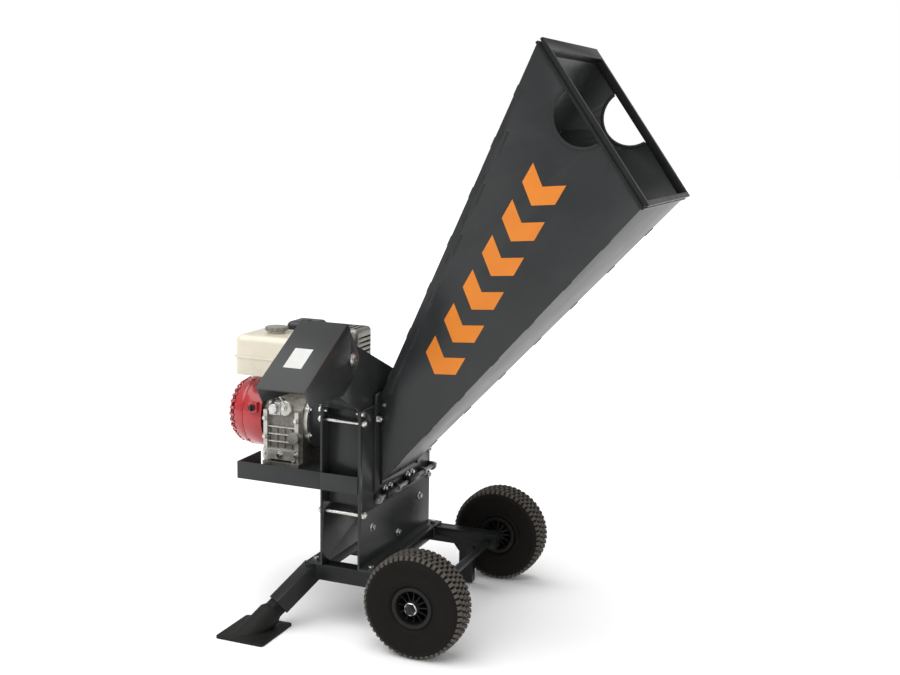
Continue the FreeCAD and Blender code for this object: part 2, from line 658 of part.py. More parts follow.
def chip_chute():
    """Sheet duct that rises from the housing top and leans out over the near side."""
    left = engine_plate_x + plate_thickness - chute_wall
    width = housing_depth - (plate_thickness - chute_wall) * 2
    roof_foot = (146, housing_top)
    profile = [(-plate_half + 4, housing_top), roof_foot, (-300, 760), (-322, 620)]
    shell = pad("YZ", width, (left, 0, 0), profile)
    hollow = pad("YZ", width - chute_wall * 2, (left + chute_wall, 0, 0),
                 [(-plate_half + 8, housing_top - 5), (138, housing_top - 5), (-340, 774), (-360, 648),
                  (-plate_half + 8, housing_top + 2)])
    pivot_holes = rod(5, width + 20, (left - 10, -pivot_y, pivot_z), ALONG_X)
    duct = cut(shell, hollow, pivot_holes)
    tabs = []
    for x in (engine_plate_x + plate_thickness, plate_x - plate_thickness - chute_wall):
        tab = block((x, -plate_half + 2, housing_top - 22), (chute_wall, 30, 26))
        tabs.append(cut(tab, rod(4.2, 30, (x - 15, -plate_half + 10, housing_top - 8), ALONG_X)))
    sub_part("chute", join(duct, *tabs))
    bolts = []
    hood_gap = (hood_width - width) / 2 - chute_wall
    for side in (-1, 1):
        chute_face = left if side < 0 else left + width
        spacer = hood_gap - end_gap
        low = chute_face - spacer if side < 0 else chute_face
        shank_length = hood_gap + chute_wall * 2 + 4
        shank_low = chute_face - hood_gap - chute_wall - 4 if side < 0 else chute_face - chute_wall
        head_low = shank_low - 6 if side < 0 else shank_low + shank_length
        pieces = [rod(9, spacer, (low, -pivot_y, pivot_z), ALONG_X),
                  rod(5, shank_length, (shank_low, -pivot_y, pivot_z), ALONG_X),
                  rod(16, 2, (head_low + 4 if side < 0 else head_low, -pivot_y, pivot_z), ALONG_X),
                  hexagon(21, 6, (head_low, -pivot_y, pivot_z), ALONG_X)]
        bolts.append(join(*pieces))
    sub_part("hood_bolts", group(*bolts))
    hood_left = left - (hood_width - width) / 2
    cheek = [(-305, 793), (-488, 689), (-513, 671), (-488, 633), (-325, 628), (-266, 664), (-242, 705), (-262, 744)]
    holes = rod(5 + running_gap, hood_width + 20, (hood_left - 10, -pivot_y, pivot_z), ALONG_X)
    cheeks = [pad("YZ", chute_wall, (x, 0, 0), cheek) for x in (hood_left, hood_left + hood_width - chute_wall)]
    cover = pad("YZ", hood_width, (hood_left, 0, 0),
                [(-304, 797), (-518, 672), (-516.5, 669.4), (-305, 793), (-291, 776), (-288, 779)])
    sub_part("hood", cut(join(cover, *cheeks), holes))


# ---- feed hopper --------------------------------------------------------------------------

def hopper_corners():
    """Corners of the hopper's side outline as (x, z): mouth top, mouth bottom, throat bottom, throat top."""
    lean = math.radians(float(mouth_lean))
    top = (float(mouth_top_x) - float(rim_depth) * math.sin(lean),
           float(mouth_top_z) - float(rim_depth) * math.cos(lean))
    depth = float(mouth_depth)
    bottom = (top[0] + depth * math.cos(lean), top[1] - depth * math.sin(lean))
    throat_x = float(throat_plane)
    return [top, bottom, (throat_x, float(throat_bottom)), (throat_x, float(throat_top))]


def side_reach(x, z):
    """Half width of the hopper at a point of its side outline; the mouth's edges are parallel."""
    mouth_top, mouth_bottom, low, high = hopper_corners()
    slope = (mouth_top[1] - mouth_bottom[1]) / (mouth_bottom[0] - mouth_top[0])
    middle = ((low[0] + high[0]) / 2, (low[1] + high[1]) / 2)
    rise = float(mouth_half) - float(throat_half)
    fall = (mouth_top[0] - middle[0]) * slope + mouth_top[1] - middle[1]
    return float(throat_half) + rise * ((x - middle[0]) * slope + z - middle[1]) / fall


throat_plane = plate_x + flange_gap + flange_wall


def inward_slab(points, thickness, solid):
    """A sheet on a face of a solid, thickened into it."""
    sheet = slab(points, thickness)
    if sheet.common(solid).Volume < sheet.Volume / 2:
        sheet = slab(points, -thickness)
    return sheet


def hopper():
    """Four sheet panels, folded mouth rim, throat flange, feed curtain, hinge and latch."""
    outline = hopper_corners()
    near = [(x, -side_reach(x, z), z) for x, z in outline]
    far = [(x, side_reach(x, z), z) for x, z in outline]
    wall = float(hopper_wall)
    rings = [Part.makePolygon([Vector(*side[a]) for side, a in ring + ring[:1]]) for ring in (
        [(near, 0), (far, 0), (far, 1), (near, 1)], [(near, 3), (far, 3), (far, 2), (near, 2)])]
    frustum = Part.makeLoft(rings, True, True)
    near_slab = inward_slab(near, wall, frustum)
    far_slab = inward_slab(far, wall, frustum)
    top = outline[0]
    run = Vector(outline[3][0] - top[0], 0, outline[3][1] - top[1])
    downhill = Vector(run).normalize()
    inward = Vector(downhill.z, 0, -downhill.x)
    if inward.x < 0:
        inward = -inward
    tab_depth = 22
    near_sheet = near_slab.common(frustum)
    far_sheet = far_slab.common(frustum)
    between = frustum.cut(near_slab).cut(far_slab)
    top_start = Vector(top[0], 0, top[1]) + inward * tab_depth
    wide = 300
    top_face = [top_start - downhill * 40 + Vector(0, -wide, 0), top_start - downhill * 40 + Vector(0, wide, 0),
                top_start + downhill * (run.Length + 80) + Vector(0, wide, 0),
                top_start + downhill * (run.Length + 80) + Vector(0, -wide, 0)]
    top_sheet = Part.Face(Part.makePolygon(top_face + top_face[:1])).extrude(inward * wall)
    stitches = []
    slots = []
    for index in range(6):
        start = top_start + downhill * (200 + index * 135)
        for width, length, store in ((wall, 54, stitches), (wall + 0.6, 55.2, slots)):
            corner = start - downhill * ((length - 54) / 2) - inward * ((width - wall) / 2)
            plan = [corner - Vector(0, wide, 0), corner + downhill * length - Vector(0, wide, 0),
                    corner + downhill * length + inward * width - Vector(0, wide, 0),
                    corner + inward * width - Vector(0, wide, 0)]
            store.append(Part.Face(Part.makePolygon(plan + plan[:1])).extrude(Vector(0, wide * 2, 0)))
    tabs = Part.makeCompound(stitches).common(frustum).cut(between)
    mouth_top = Vector(outline[0][0], 0, outline[0][1])
    mouth_run = Vector(outline[1][0] - outline[0][0], 0, outline[1][1] - outline[0][1])
    handle = mouth_top + mouth_run * 0.44
    grip = Part.makeCylinder(72, wide * 2, handle - Vector(0, wide, 0), Vector(0, 1, 0))
    openings = Part.makeCompound(slots + [grip])
    sub_part("hopper_near_panel", shaped(near_sheet.cut(openings)))
    sub_part("hopper_far_panel", shaped(far_sheet.cut(openings)))
    sub_part("hopper_top_panel", shaped(top_sheet.common(between).fuse(tabs).removeSplitter()))
    bottom_sheet = inward_slab([near[1], far[1], far[2], near[2]], wall, frustum)
    sub_part("hopper_bottom_panel", shaped(bottom_sheet.common(between)))
    mouth_rim(mouth_top, mouth_run)
    flange_and_curtain(near, far)
    hinge_and_latch()


def mouth_rim(mouth_top, mouth_run):
    """Folded channel all round the mouth, in the plane of its edges."""
    length = mouth_run.Length
    half = float(mouth_half)
    along = Vector(mouth_run).normalize()
    outward = along.cross(Vector(0, -1, 0))
    if outward.x < 0:
        outward = -outward
    turn = FreeCAD.Rotation(along, Vector(0, 1, 0), outward, "ZXY")
    depth = float(rim_depth)
    lip = 9
    top_lip = 28
    proud = 4

    def frame_box(upper, inset, low, high):
        return Part.makeBox(length - upper - inset, (half - inset) * 2, high - low,
                            Vector(upper, -(half - inset), low))

    ring = frame_box(-proud, -proud, 0, depth).cut(frame_box(top_lip, lip, 0, depth))
    groove = frame_box(-proud, -proud, 7, 13).cut(frame_box(1, 1, 7, 13))
    shape = ring.cut(groove)
    shape.Placement = FreeCAD.Placement(mouth_top, turn)
    sub_part("mouth_rim", shaped(shape))


def flange_and_curtain(near, far):
    """Throat flange ring and the rubber curtain that hangs in the hopper."""
    low = throat_bottom - 16
    high = throat_top + 16
    reach = throat_half + 26
    ring = pad("YZ", flange_wall, (plate_x + flange_gap, 0, 0), rectangle(-reach, low, reach, high))
    hole = shaped(Part.Face(Part.makePolygon([Vector(*point) for point in
                                              (near[2], far[2], far[3], near[3], near[2])])
                            ).extrude(Vector(-20, 0, 0)))
    latch_bore = rod(4.1, 20, (plate_x - 5, latch_y, latch_z), ALONG_X)
    sub_part("throat_flange", cut(ring, hole, latch_bore))
    curtain_x = -60
    curtain_top = 762
    half = side_reach(curtain_x, curtain_top - 200) - 14
    sheet = block((curtain_x, -half, curtain_top - 200), (5, half * 2, 200))
    bar_half = side_reach(curtain_x, curtain_top) - 6
    bar = rod(5, bar_half * 2, (curtain_x + 2.5, -bar_half, curtain_top), ALONG_Y)
    sub_part("feed_curtain", join(sheet, bar))


def hinge_and_latch():
    """Hinge pin with its lugs on the housing, knuckles on the hopper, and the latch bolt."""
    knuckle = hinge_radius + 4
    knuckles = []
    for y in (-100, 40):
        tube = pipe(knuckle, hinge_radius + running_gap, 60, (-hinge_x, y, hinge_z), ALONG_Y)
        leaf = block((plate_x + flange_gap, y, hinge_z + 4), (flange_wall, 60, throat_bottom - 16 - hinge_z - 4))
        knuckles.append(cut(join(tube, leaf),
                            rod(hinge_radius + running_gap, 60, (-hinge_x, y, hinge_z), ALONG_Y)))
    sub_part("hopper_hinge", group(*knuckles))
    pin = rod(hinge_radius, 380, (-hinge_x, -150, hinge_z), ALONG_Y)
    lugs = []
    for y in (-140, -30, 140, 206):
        plate = block((plate_x, y, hinge_z - 12), (plate_front - hinge_x, 8, 24))
        lugs.append(join(plate, rod(12, 8, (-hinge_x, y, hinge_z), ALONG_Y)))
    sub_part("hinge_pin", join(pin, *lugs))
    stud = rod(4, 24, (plate_x - 4, latch_y, latch_z), ALONG_X)
    knob_x = plate_x + flange_gap + flange_wall + end_gap
    washer = rod(9, 2, (knob_x, latch_y, latch_z), ALONG_X)
    sub_part("latch_bolt", join(stud, washer, hexagon(15, 9, (knob_x + 2, latch_y, latch_z), ALONG_X)))


# ---- engine -------------------------------------------------------------------------------

def engine():
    """Air-cooled single-cylinder engine, shaft level, with its cylinder leaning to the far side."""
    front = -case_front
    back = -case_back
    length = case_front - case_back
    low = base_height
    feet = [block((front + 6, side * 89 - 12, low), (length - 6, 24, 12)) for side in (-1, 1)]
    body = pad("YZ", length, (front, 0, 0),
               [(-78, low), (78, low), (84, low + 40), (80, shaft_height + 40), (40, shaft_height + 66),
                (-46, shaft_height + 66), (-78, shaft_height + 30)])
    bores = [rod(4.2, 30, (x, y, low - 5)) for x, y in engine_bolt_spots()]
    ribs = [block((front + 14 + index * 22, -82, low + 30), (5, 8, 70)) for index in range(5)]
    control_plate = block((front + 18, -88, shaft_height + 20), (36, 30, 34))
    case = join(body, *feet, *ribs, control_plate)
    shaft_room = rod(crank_radius + 15, length, (front, 0, shaft_height), ALONG_X)
    filler_hole = rod(13, 28, (back - 17, -95, low + 81), ALONG_Y)
    sub_part("crankcase", cut(case, shaft_room, filler_hole, *bores))
    cover = join(rod(76, 12, (back, 0, shaft_height - 4), ALONG_X), rod(34, 20, (back, 0, shaft_height), ALONG_X))
    ears = [rod(9, 15, (back, 70 * math.cos(turn), shaft_height - 4 + 70 * math.sin(turn)), ALONG_X)
            for turn in [math.radians(60 * index + 30) for index in range(6)]]
    clearance = rod(crank_radius + running_gap, 40, (back - 5, 0, shaft_height), ALONG_X)
    above_base = block((back, -90, low), (30, 180, 240))
    trimmed = doc.addObject("Part::Common", "trimmed")
    trimmed.Base = join(cover, *ears)
    trimmed.Tool = above_base
    sub_part("crankcase_cover", cut(trimmed, clearance))
    crank = join(rod(crank_radius, 198, (front - 15, 0, shaft_height), ALONG_X),
                 rod(crank_radius + 10, length - 20, (front + 10, 0, shaft_height), ALONG_X))
    sub_part("crankshaft", crank)
    wheel_start = front - 40
    hub_bore = rod(crank_radius, 30, (front - 15, 0, shaft_height), ALONG_X)
    vanes = []
    for index in range(12):
        vane = bind(doc.addObject("Part::Box", "vane"), Length=14, Width=4, Height=fan_radius - 45)
        turn = FreeCAD.Rotation(Vector(1, 0, 0), index * 30)
        offset = turn.multVec(Vector(0, -2, 35))
        vanes.append(place(vane, (wheel_start - 12, offset.y, shaft_height + offset.z), turn))
    flywheel = join(rod(fan_radius - 10, 14, (wheel_start, 0, shaft_height), ALONG_X), *vanes,
                    rod(24, 34, (wheel_start, 0, shaft_height), ALONG_X))
    sub_part("flywheel", cut(flywheel, hub_bore))
    cylinder(front, back)
    covers(front)
    top_parts(front, back)
    controls(front, back)


def cylinder(front, back):
    """Finned barrel, head and rocker cover along an axis 25 degrees above level."""
    lean = FreeCAD.Rotation(Vector(1, 0, 0), -65)
    middle_x = float(front + back) / 2
    root = Vector(middle_x, 0, float(shaft_height))
    case_side = 92

    def slab_at(start, thickness, half_x, half_y, fillet=0):
        box = Part.makeBox(half_x * 2, half_y * 2, thickness, Vector(-half_x, -half_y, start))
        if fillet:
            box = box.makeFillet(fillet, [edge for edge in box.Edges if abs(edge.tangentAt(0).z) > 0.9])
        return box

    barrel = Part.makeCylinder(34, 56, Vector(0, 0, case_side))
    fins = [slab_at(case_side + 4 + index * 8, 3, 50, 44, 10) for index in range(7)]
    head = [slab_at(case_side + 60, 10, 54, 48, 8)]
    head += [slab_at(case_side + 70 + index * 7, 3, 50, 46, 8) for index in range(3)]
    head += [slab_at(case_side + 60, 30, 32, 34, 6)]
    cover = slab_at(case_side + 94, 24, 42, 34, 10)
    head += [slab_at(case_side + 88, 6, 46, 38, 8)]
    solids = [barrel.fuse(fins), head[0].fuse(head[1:]), cover]
    placement = FreeCAD.Placement(root, lean)
    features = []
    for solid in solids:
        solid.Placement = placement
        features.append(shaped(solid))
    case_block = Part.makeBox(100, 88, 400, Vector(middle_x - 50, 0, float(base_height)))
    features[0].Shape = features[0].Shape.cut(case_block)
    sub_part("cylinder", group(*features))


def covers(front):
    """Fan cover behind the cylinder and the slotted starter cover outside it."""
    shroud_x = front - 58
    drum = pad("YZ", 56, (shroud_x, 0, 0),
               [(-fan_radius, shaft_height, fan_radius), (0, shaft_height - fan_radius, fan_radius),
                (fan_radius, shaft_height), (150, shaft_height + 10), (150, shaft_height + 84),
                (40, shaft_height + fan_radius), (0, shaft_height + fan_radius, fan_radius)])
    room = rod(fan_radius - 3, 72, (shroud_x - 12, 0, shaft_height), ALONG_X)
    side_room = block((shroud_x + 3, 20, shaft_height + 16), (60, 127, 64))
    switch_pod = block((front - 36, -fan_radius - 7, shaft_height + 16), (26, 16, 28))
    sub_part("fan_cover", cut(join(drum, switch_pod), room, side_room))
    start = (shroud_x, 0, shaft_height)
    skirt = turned(start, [(0, -62), (62, -62), (78, -54), (fan_radius - 8, -36), (fan_radius, -6),
                           (fan_radius, 0), (fan_radius - 3, 0), (fan_radius - 3, -5), (fan_radius - 11, -34),
                           (75, -51), (61, -59), (0, -59)], ALONG_X)
    windows = []
    for index in range(20):
        window = doc.addObject("Part::Box", "window")
        window.Length = 24
        window.Width = 7
        window.Height = 26
        turn = FreeCAD.Rotation(Vector(1, 0, 0), index * 18)
        offset = turn.multVec(Vector(0, -3.5, 70))
        windows.append(place(window, (shroud_x - 44, offset.y, shaft_height + offset.z), turn))
    away = Vector(0, 1, 0.35).normalize()
    base = Vector(float(shroud_x) - 34, 42, float(shaft_height) + 28)
    rope_way = shaped(Part.makeCylinder(5, 60, base, away))
    sub_part("recoil_cover", cut(skirt, rope_way, *windows))
    cord = Part.makeCylinder(2, 66, base, away)
    handle_middle = base + away * 66
    handle = Part.makeCylinder(7, 60, handle_middle - Vector(30, 0, 0), Vector(1, 0, 0))
    boss = Part.makeCylinder(6, 12, handle_middle - away * 10, away)
    sub_part("starter_grip", shaped(cord.fuse([handle, boss])))


def rounded_block(low, high, fillet):
    """A block with its upright and top edges rounded."""
    low = Vector(*[float(number) for number in low])
    high = Vector(*[float(number) for number in high])
    size = high - low
    box = Part.makeBox(size.x, size.y, size.z, low)
    edges = [edge for edge in box.Edges if edge.BoundBox.ZMax > high.z - 0.1 or edge.BoundBox.ZLength > 1]
    return box.makeFillet(fillet, edges)


def top_parts(front, back):
    """Fuel tank and cap, air cleaner, carburettor, muffler and its guard."""
    tank_low = shaft_height + fan_radius + 20
    tank_top = shaft_height + 222
    tank = rounded_block((front - 84, -96, tank_low), (back - 16, 60, tank_top), 22)
    seam = Part.makeBox(193, 164, 4, Vector(float(front) - 88, -100, float(tank_low) + 46))
    seam = seam.makeFillet(20, [edge for edge in seam.Edges if edge.BoundBox.ZLength > 1])
    neck = Part.makeCylinder(22, 6, Vector(-540, -20, float(tank_top)))
    neck_bore = Part.makeCylinder(19.8, 20, Vector(-540, -20, float(tank_top) - 12))
    sub_part("fuel_tank", shaped(tank.fuse([seam, neck]).cut(neck_bore)))
    cap = join(rod(28, 11, (-540, -20, tank_top + 6.5)), rod(19, 16, (-540, -20, tank_top - 9)),
               *[rod(3, 10, (-540 + 28 * math.cos(turn), -20 + 28 * math.sin(turn), tank_top + 7))
                 for turn in [math.radians(30 * index) for index in range(12)]])
    sub_part("fuel_cap", cap)
    air_low = shaft_height + 132
    air = rounded_block((front - 20, 68, air_low), (front + 70, 158, shaft_height + 239), 16)
    sub_part("air_cleaner", shaped(air))
    carb = join(block((front - 45, 80, air_low - 40), (44, 40, 40)), rod(13, 6, (front - 1, 100, air_low - 22), ALONG_X),
                rod(15, 10, (front - 23, 70, air_low - 20), ALONG_Y))
    sub_part("carburettor", carb)
    muffler_low = shaft_height + 126
    muffler = rounded_block((back - 34, 76, muffler_low), (back + 72, 154, shaft_height + 219), 18)
    sub_part("muffler", shaped(muffler))
    shell = rounded_block((back - 38, 68, muffler_low - 4), (back + 86, 162, shaft_height + 231), 12)
    hollow = rounded_block((back - 40, 70, muffler_low - 10), (back + 84, 160, shaft_height + 229), 11)
    louvres = [Part.makeBox(6, 74, 5, Vector(float(back) + 82, 78, float(muffler_low) + 12 + index * 13))
               for index in range(6)]
    louvres += [Part.makeBox(8, 66, 8, Vector(float(back) - 24 + index * 18, 82, float(shaft_height) + 226))
                for index in range(6)]
    sub_part("muffler_guard", shaped(shell.cut(hollow).cut(Part.makeCompound(louvres))))


def controls(front, back):
    """Oil cap, throttle lever, stop switch and its lead, and mounting bolts."""
    low = base_height
    sub_part("oil_cap", join(rod(12.8, 20, (back - 17, -92, low + 81), ALONG_Y),
                             rod(16, 11, (back - 17, -102, low + 81), ALONG_Y)))
    lever_x = front + 34
    lever = join(rod(9, 6, (lever_x, -94.5, shaft_height + 40), ALONG_Y),
                 block((lever_x - 3, -93.5, shaft_height + 40), (6, 4, 44)),
                 ball(6, (lever_x, -91.5, shaft_height + 86)))
    sub_part("throttle_lever", lever)
    toggle = join(rod(9, 6, (front - 24, -fan_radius - 13.5, shaft_height + 30), ALONG_Y),
                  block((front - 27, -fan_radius - 19, shaft_height + 23), (6, 8, 14)))
    sub_part("stop_switch", toggle)
    bolts = []
    for x, y in engine_bolt_spots():
        bolts.append(join(rod(4.2, 12 + tray_wall + 8, (x, y, low - tray_wall - 8)), hexagon(13, 6, (x, y, low + 12)),
                          hexagon(13, 7, (x, y, low - tray_wall - 7))))
    sub_part("engine_bolts", group(*bolts))


# ---- build, check and write ---------------------------------------------------------------

def write_parts():
    """Recompute, refuse anything failed or invalid, and write one STEP file for each sub-part."""
    doc.recompute()
    for feature in doc.Objects:
        if {"Invalid", "Error"} & set(feature.State):
            raise RuntimeError(f"{feature.Name} {feature.Label} failed: {feature.State}")
    for feature in sub_parts:
        if feature.Shape.isNull() or not feature.Shape.isValid() or not feature.Shape.Solids:
            raise RuntimeError(f"{feature.Label} has no valid solid")
    os.makedirs("parts", exist_ok=True)
    for feature in sub_parts:
        feature.Shape.exportStep(f"parts/{feature.Label}.step")
        print(feature.Label, len(feature.Shape.Solids), round(feature.Shape.Volume))


running_gear()
stand()
legs()
housing()
engine_tray()
rotor()
chip_chute()
hopper()
engine()
write_parts()
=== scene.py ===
"""Petrol wood chipper: finished looks built around the fixed frame of its parts."""

import json
import math

import bmesh
import bpy
from mathutils import Matrix, Vector


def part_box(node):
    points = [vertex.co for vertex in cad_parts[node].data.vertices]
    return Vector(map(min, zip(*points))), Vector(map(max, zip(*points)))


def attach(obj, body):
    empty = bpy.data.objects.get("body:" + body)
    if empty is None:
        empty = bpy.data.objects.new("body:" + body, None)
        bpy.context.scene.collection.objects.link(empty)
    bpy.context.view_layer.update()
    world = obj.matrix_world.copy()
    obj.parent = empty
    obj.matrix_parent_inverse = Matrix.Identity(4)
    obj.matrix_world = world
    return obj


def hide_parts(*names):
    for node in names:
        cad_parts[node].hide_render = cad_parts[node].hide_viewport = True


bl_info = {
    "name": "Wood Chipper",
    "version": (1, 0, 0),
    "blender": (4, 5, 0),
    "location": "3D View > Sidebar > Chipper",
    "description": "Builds the finished surfaces and small fittings of a petrol wood chipper",
    "category": "Object",
}

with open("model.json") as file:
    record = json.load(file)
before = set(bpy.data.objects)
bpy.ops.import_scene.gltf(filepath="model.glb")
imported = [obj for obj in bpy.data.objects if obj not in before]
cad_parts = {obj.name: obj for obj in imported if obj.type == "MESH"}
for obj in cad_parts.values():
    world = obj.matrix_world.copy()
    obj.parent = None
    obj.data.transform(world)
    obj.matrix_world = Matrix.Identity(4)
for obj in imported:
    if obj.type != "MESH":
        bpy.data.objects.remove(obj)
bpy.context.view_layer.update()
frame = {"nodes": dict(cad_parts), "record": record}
BODY_OF = {node: body for body, nodes in frame["record"]["behaviour"]["bodies"].items() for node in nodes}
MM = 0.001
X = Vector((1, 0, 0))
Y = Vector((0, 1, 0))
Z = Vector((0, 0, 1))
SIDES = (("near", -1), ("far", 1))


# ---- materials ----------------------------------------------------------------------------

def linear(code):
    """sRGB hex to linear RGBA."""
    channels = [int(code[i:i + 2], 16) / 255 for i in (1, 3, 5)]
    return tuple(c / 12.92 if c <= 0.04045 else ((c + 0.055) / 1.055) ** 2.4 for c in channels) + (1,)


def add(tree, kind, inputs=(), **settings):
    """Add a node with its settings, then set or link its inputs."""
    node = tree.nodes.new(kind)
    for name, value in settings.items():
        setattr(node, name, value)
    for key, value in dict(inputs).items():
        if isinstance(value, bpy.types.NodeSocket):
            tree.links.new(value, node.inputs[key])
        else:
            node.inputs[key].default_value = value
    return node


def surface(name, colours, metallic, roughness, mottle, grain, depth, stretch=(1, 1, 1), extra=()):
    """A material whose colour and gloss vary over `mottle` mm and whose surface has a `grain` mm texture.

    colours: darkest and lightest sRGB; roughness: smoothest and roughest; depth: height of the grain in mm.
    """
    material = bpy.data.materials.new(name)
    material.use_nodes = True
    tree = material.node_tree
    tree.nodes.clear()
    place = add(tree, "ShaderNodeTexCoord").outputs["Object"]
    spread = add(tree, "ShaderNodeMapping", {"Vector": place, "Scale": stretch}).outputs["Vector"]
    clouds = add(tree, "ShaderNodeTexNoise", {"Vector": place, "Scale": 1000 / mottle, "Detail": 4.0,
                                              "Roughness": 0.6}).outputs["Fac"]
    tone = add(tree, "ShaderNodeMapRange", {"Value": clouds, "From Min": 0.3, "From Max": 0.7})
    ramp = add(tree, "ShaderNodeValToRGB", {"Fac": tone.outputs["Result"]})
    ramp.color_ramp.elements[0].color = linear(colours[0])
    ramp.color_ramp.elements[1].color = linear(colours[1])
    gloss = add(tree, "ShaderNodeMapRange", {"Value": clouds, "From Min": 0.3, "From Max": 0.7,
                                             "To Min": roughness[0], "To Max": roughness[1]})
    fine = add(tree, "ShaderNodeTexNoise", {"Vector": spread, "Scale": 1000 / grain, "Detail": 2.0})
    bump = add(tree, "ShaderNodeBump", {"Height": fine.outputs["Fac"], "Strength": 0.6,
                                        "Distance": depth * MM})
    shader = add(tree, "ShaderNodeBsdfPrincipled", {"Base Color": ramp.outputs["Color"], "Metallic": metallic,
                                                    "Roughness": gloss.outputs["Result"],
                                                    "Normal": bump.outputs["Normal"], **dict(extra)})
    add(tree, "ShaderNodeOutputMaterial", {"Surface": shader.outputs["BSDF"]})
    return material


def make_materials():
    """Every finish on the machine, by the name of what it is."""
    return {
        # Epoxy-polyester powder coat, sprayed and baked: satin charcoal with a faint orange peel.
        "powder_coat": surface("powder_coat", ("#141516", "#1b1c1d"), 0.0, (0.3, 0.4), 60, 2.2, 0.06,
                               extra={"Specular IOR Level": 0.25}),
        # The same coat over rolled sheet: broad, flat and a little smoother.
        "powder_coat_sheet": surface("powder_coat_sheet", ("#242526", "#2b2c2d"), 0.0, (0.27, 0.36), 120, 2.6,
                                     0.05, extra={"Specular IOR Level": 0.35}),
        # The coat on the feet: scuffed matt and blackened by soil.
        "worn_coat": surface("worn_coat", ("#111111", "#1c1b19"), 0.0, (0.5, 0.7), 14, 1.6, 0.12,
                             extra={"Specular IOR Level": 0.2}),
        # Zinc plate, clear passivated: bright grey with cloudy patches.
        "zinc_plate": surface("zinc_plate", ("#b4b4b0", "#e2e2dd"), 1.0, (0.22, 0.42), 7, 1.2, 0.03),
        # Ground mild steel: fine lines along the shaft.
        "ground_steel": surface("ground_steel", ("#7c7c7d", "#9b9b9c"), 1.0, (0.28, 0.40), 12, 1.5, 0.03,
                                stretch=(1, 6, 6)),
        # Steel with a black oxide finish: dark, faintly oily.
        "black_oxide": surface("black_oxide", ("#2c2b2a", "#3f3d3b"), 0.8, (0.4, 0.55), 9, 1.2, 0.03),
        # Hardened tool steel, surface ground: brighter than the disc that it is bolted to.
        "tool_steel": surface("tool_steel", ("#a3a4a6", "#c2c3c5"), 1.0, (0.2, 0.3), 15, 1.2, 0.02,
                              stretch=(1, 1, 8)),
        # Vulcanised tyre rubber: brownish black, matt.
        "tyre_rubber": surface("tyre_rubber", ("#0f0d0b", "#171411"), 0.0, (0.6, 0.75), 22, 1.6, 0.10,
                               extra={"Specular IOR Level": 0.12}),
        # Lighter rubber for the tread blocks: pale dust held by them, and a painted highlight on their tops.
        "dusty_rubber": surface("dusty_rubber", ("#3b3733", "#544f48"), 0.0, (0.75, 0.9), 9, 1.2, 0.14),
        # Glass-filled polypropylene, moulded: flat black with a fine spark-eroded grain.
        "moulded_pp": surface("moulded_pp", ("#0d0d0e", "#151516"), 0.0, (0.45, 0.58), 30, 1.4, 0.05,
                              extra={"Specular IOR Level": 0.25}),
        # Cut sheet rubber with a fabric core: matt, slightly ribbed.
        "sheet_rubber": surface("sheet_rubber", ("#171717", "#222221"), 0.0, (0.7, 0.85), 35, 2.0, 0.12),
        # Pressure die-cast aluminium: pale, cloudy from the die, with a pebbled skin.
        "die_cast": surface("die_cast", ("#b4b2ac", "#dbd9d2"), 0.7, (0.38, 0.54), 14, 1.3, 0.16),
        # The same skin darkened: painted shade for the crankcase body behind its ribs and for the finned
        # cylinder.
        "die_cast_dull": surface("die_cast_dull", ("#6b6963", "#98958d"), 0.7, (0.42, 0.6), 9, 1.3, 0.2),
        # Machined aluminium: lighter and smoother than the cast skin.
        "machined": surface("machined", ("#b4b4b2", "#d6d6d3"), 1.0, (0.25, 0.34), 10, 1.0, 0.03),
        # Stoved red enamel over pressed steel: a clear gloss coat over strong colour.
        "red_enamel": surface("red_enamel", ("#a3161f", "#b81d26"), 0.0, (0.25, 0.34), 70, 2.4, 0.03,
                              extra={"Coat Weight": 0.5, "Coat Roughness": 0.12}),
        # Stoved cream enamel over pressed steel.
        "cream_enamel": surface("cream_enamel", ("#cfc7b3", "#dad3c0"), 0.0, (0.25, 0.34), 90, 2.4, 0.03,
                                extra={"Coat Weight": 0.5, "Coat Roughness": 0.12}),
        # Moulded ABS: black with a soft sheen.
        "black_abs": surface("black_abs", ("#18181a", "#212123"), 0.0, (0.36, 0.46), 40, 1.6, 0.05),
        # Moulded HDPE, uncoloured by age: warm grey.
        "grey_hdpe": surface("grey_hdpe", ("#77766f", "#8b8a82"), 0.0, (0.42, 0.52), 30, 1.6, 0.05),
        # Aluminised steel sheet, dulled by heat: grey with straw patches.
        "aluminised_steel": surface("aluminised_steel", ("#6d6a64", "#989690"), 0.9, (0.36, 0.5), 26, 1.4,
                                    0.05),
        # Bare arc weld under the coat: ripples are in the mesh, the coat is a touch glossier.
        "coated_weld": surface("coated_weld", ("#1f2021", "#292a2c"), 0.0, (0.32, 0.42), 12, 1.4, 0.10),
        # Cast vinyl film, orange: even colour, soft gloss.
        "orange_vinyl": surface("orange_vinyl", ("#cd720c", "#d87c12"), 0.0, (0.38, 0.46), 90, 3.0, 0.01),
        # Cast vinyl film, white.
        "white_vinyl": surface("white_vinyl", ("#c4c4c1", "#d0d0cd"), 0.0, (0.38, 0.46), 40, 3.0, 0.01),
        # Painted shade: near-black sheets standing for the shadow inside the tab slots.
        "raw_edge": surface("raw_edge", ("#0d0d0e", "#141415"), 0.0, (0.6, 0.7), 10, 1.2, 0.03),
    }


MATERIALS = make_materials()


# ---- meshes -------------------------------------------------------------------------------

def turn_from_z(axis):
    """Rotation that takes the Z axis to `axis`."""
    return Vector(axis).normalized().to_track_quat("Z", "Y").to_matrix()


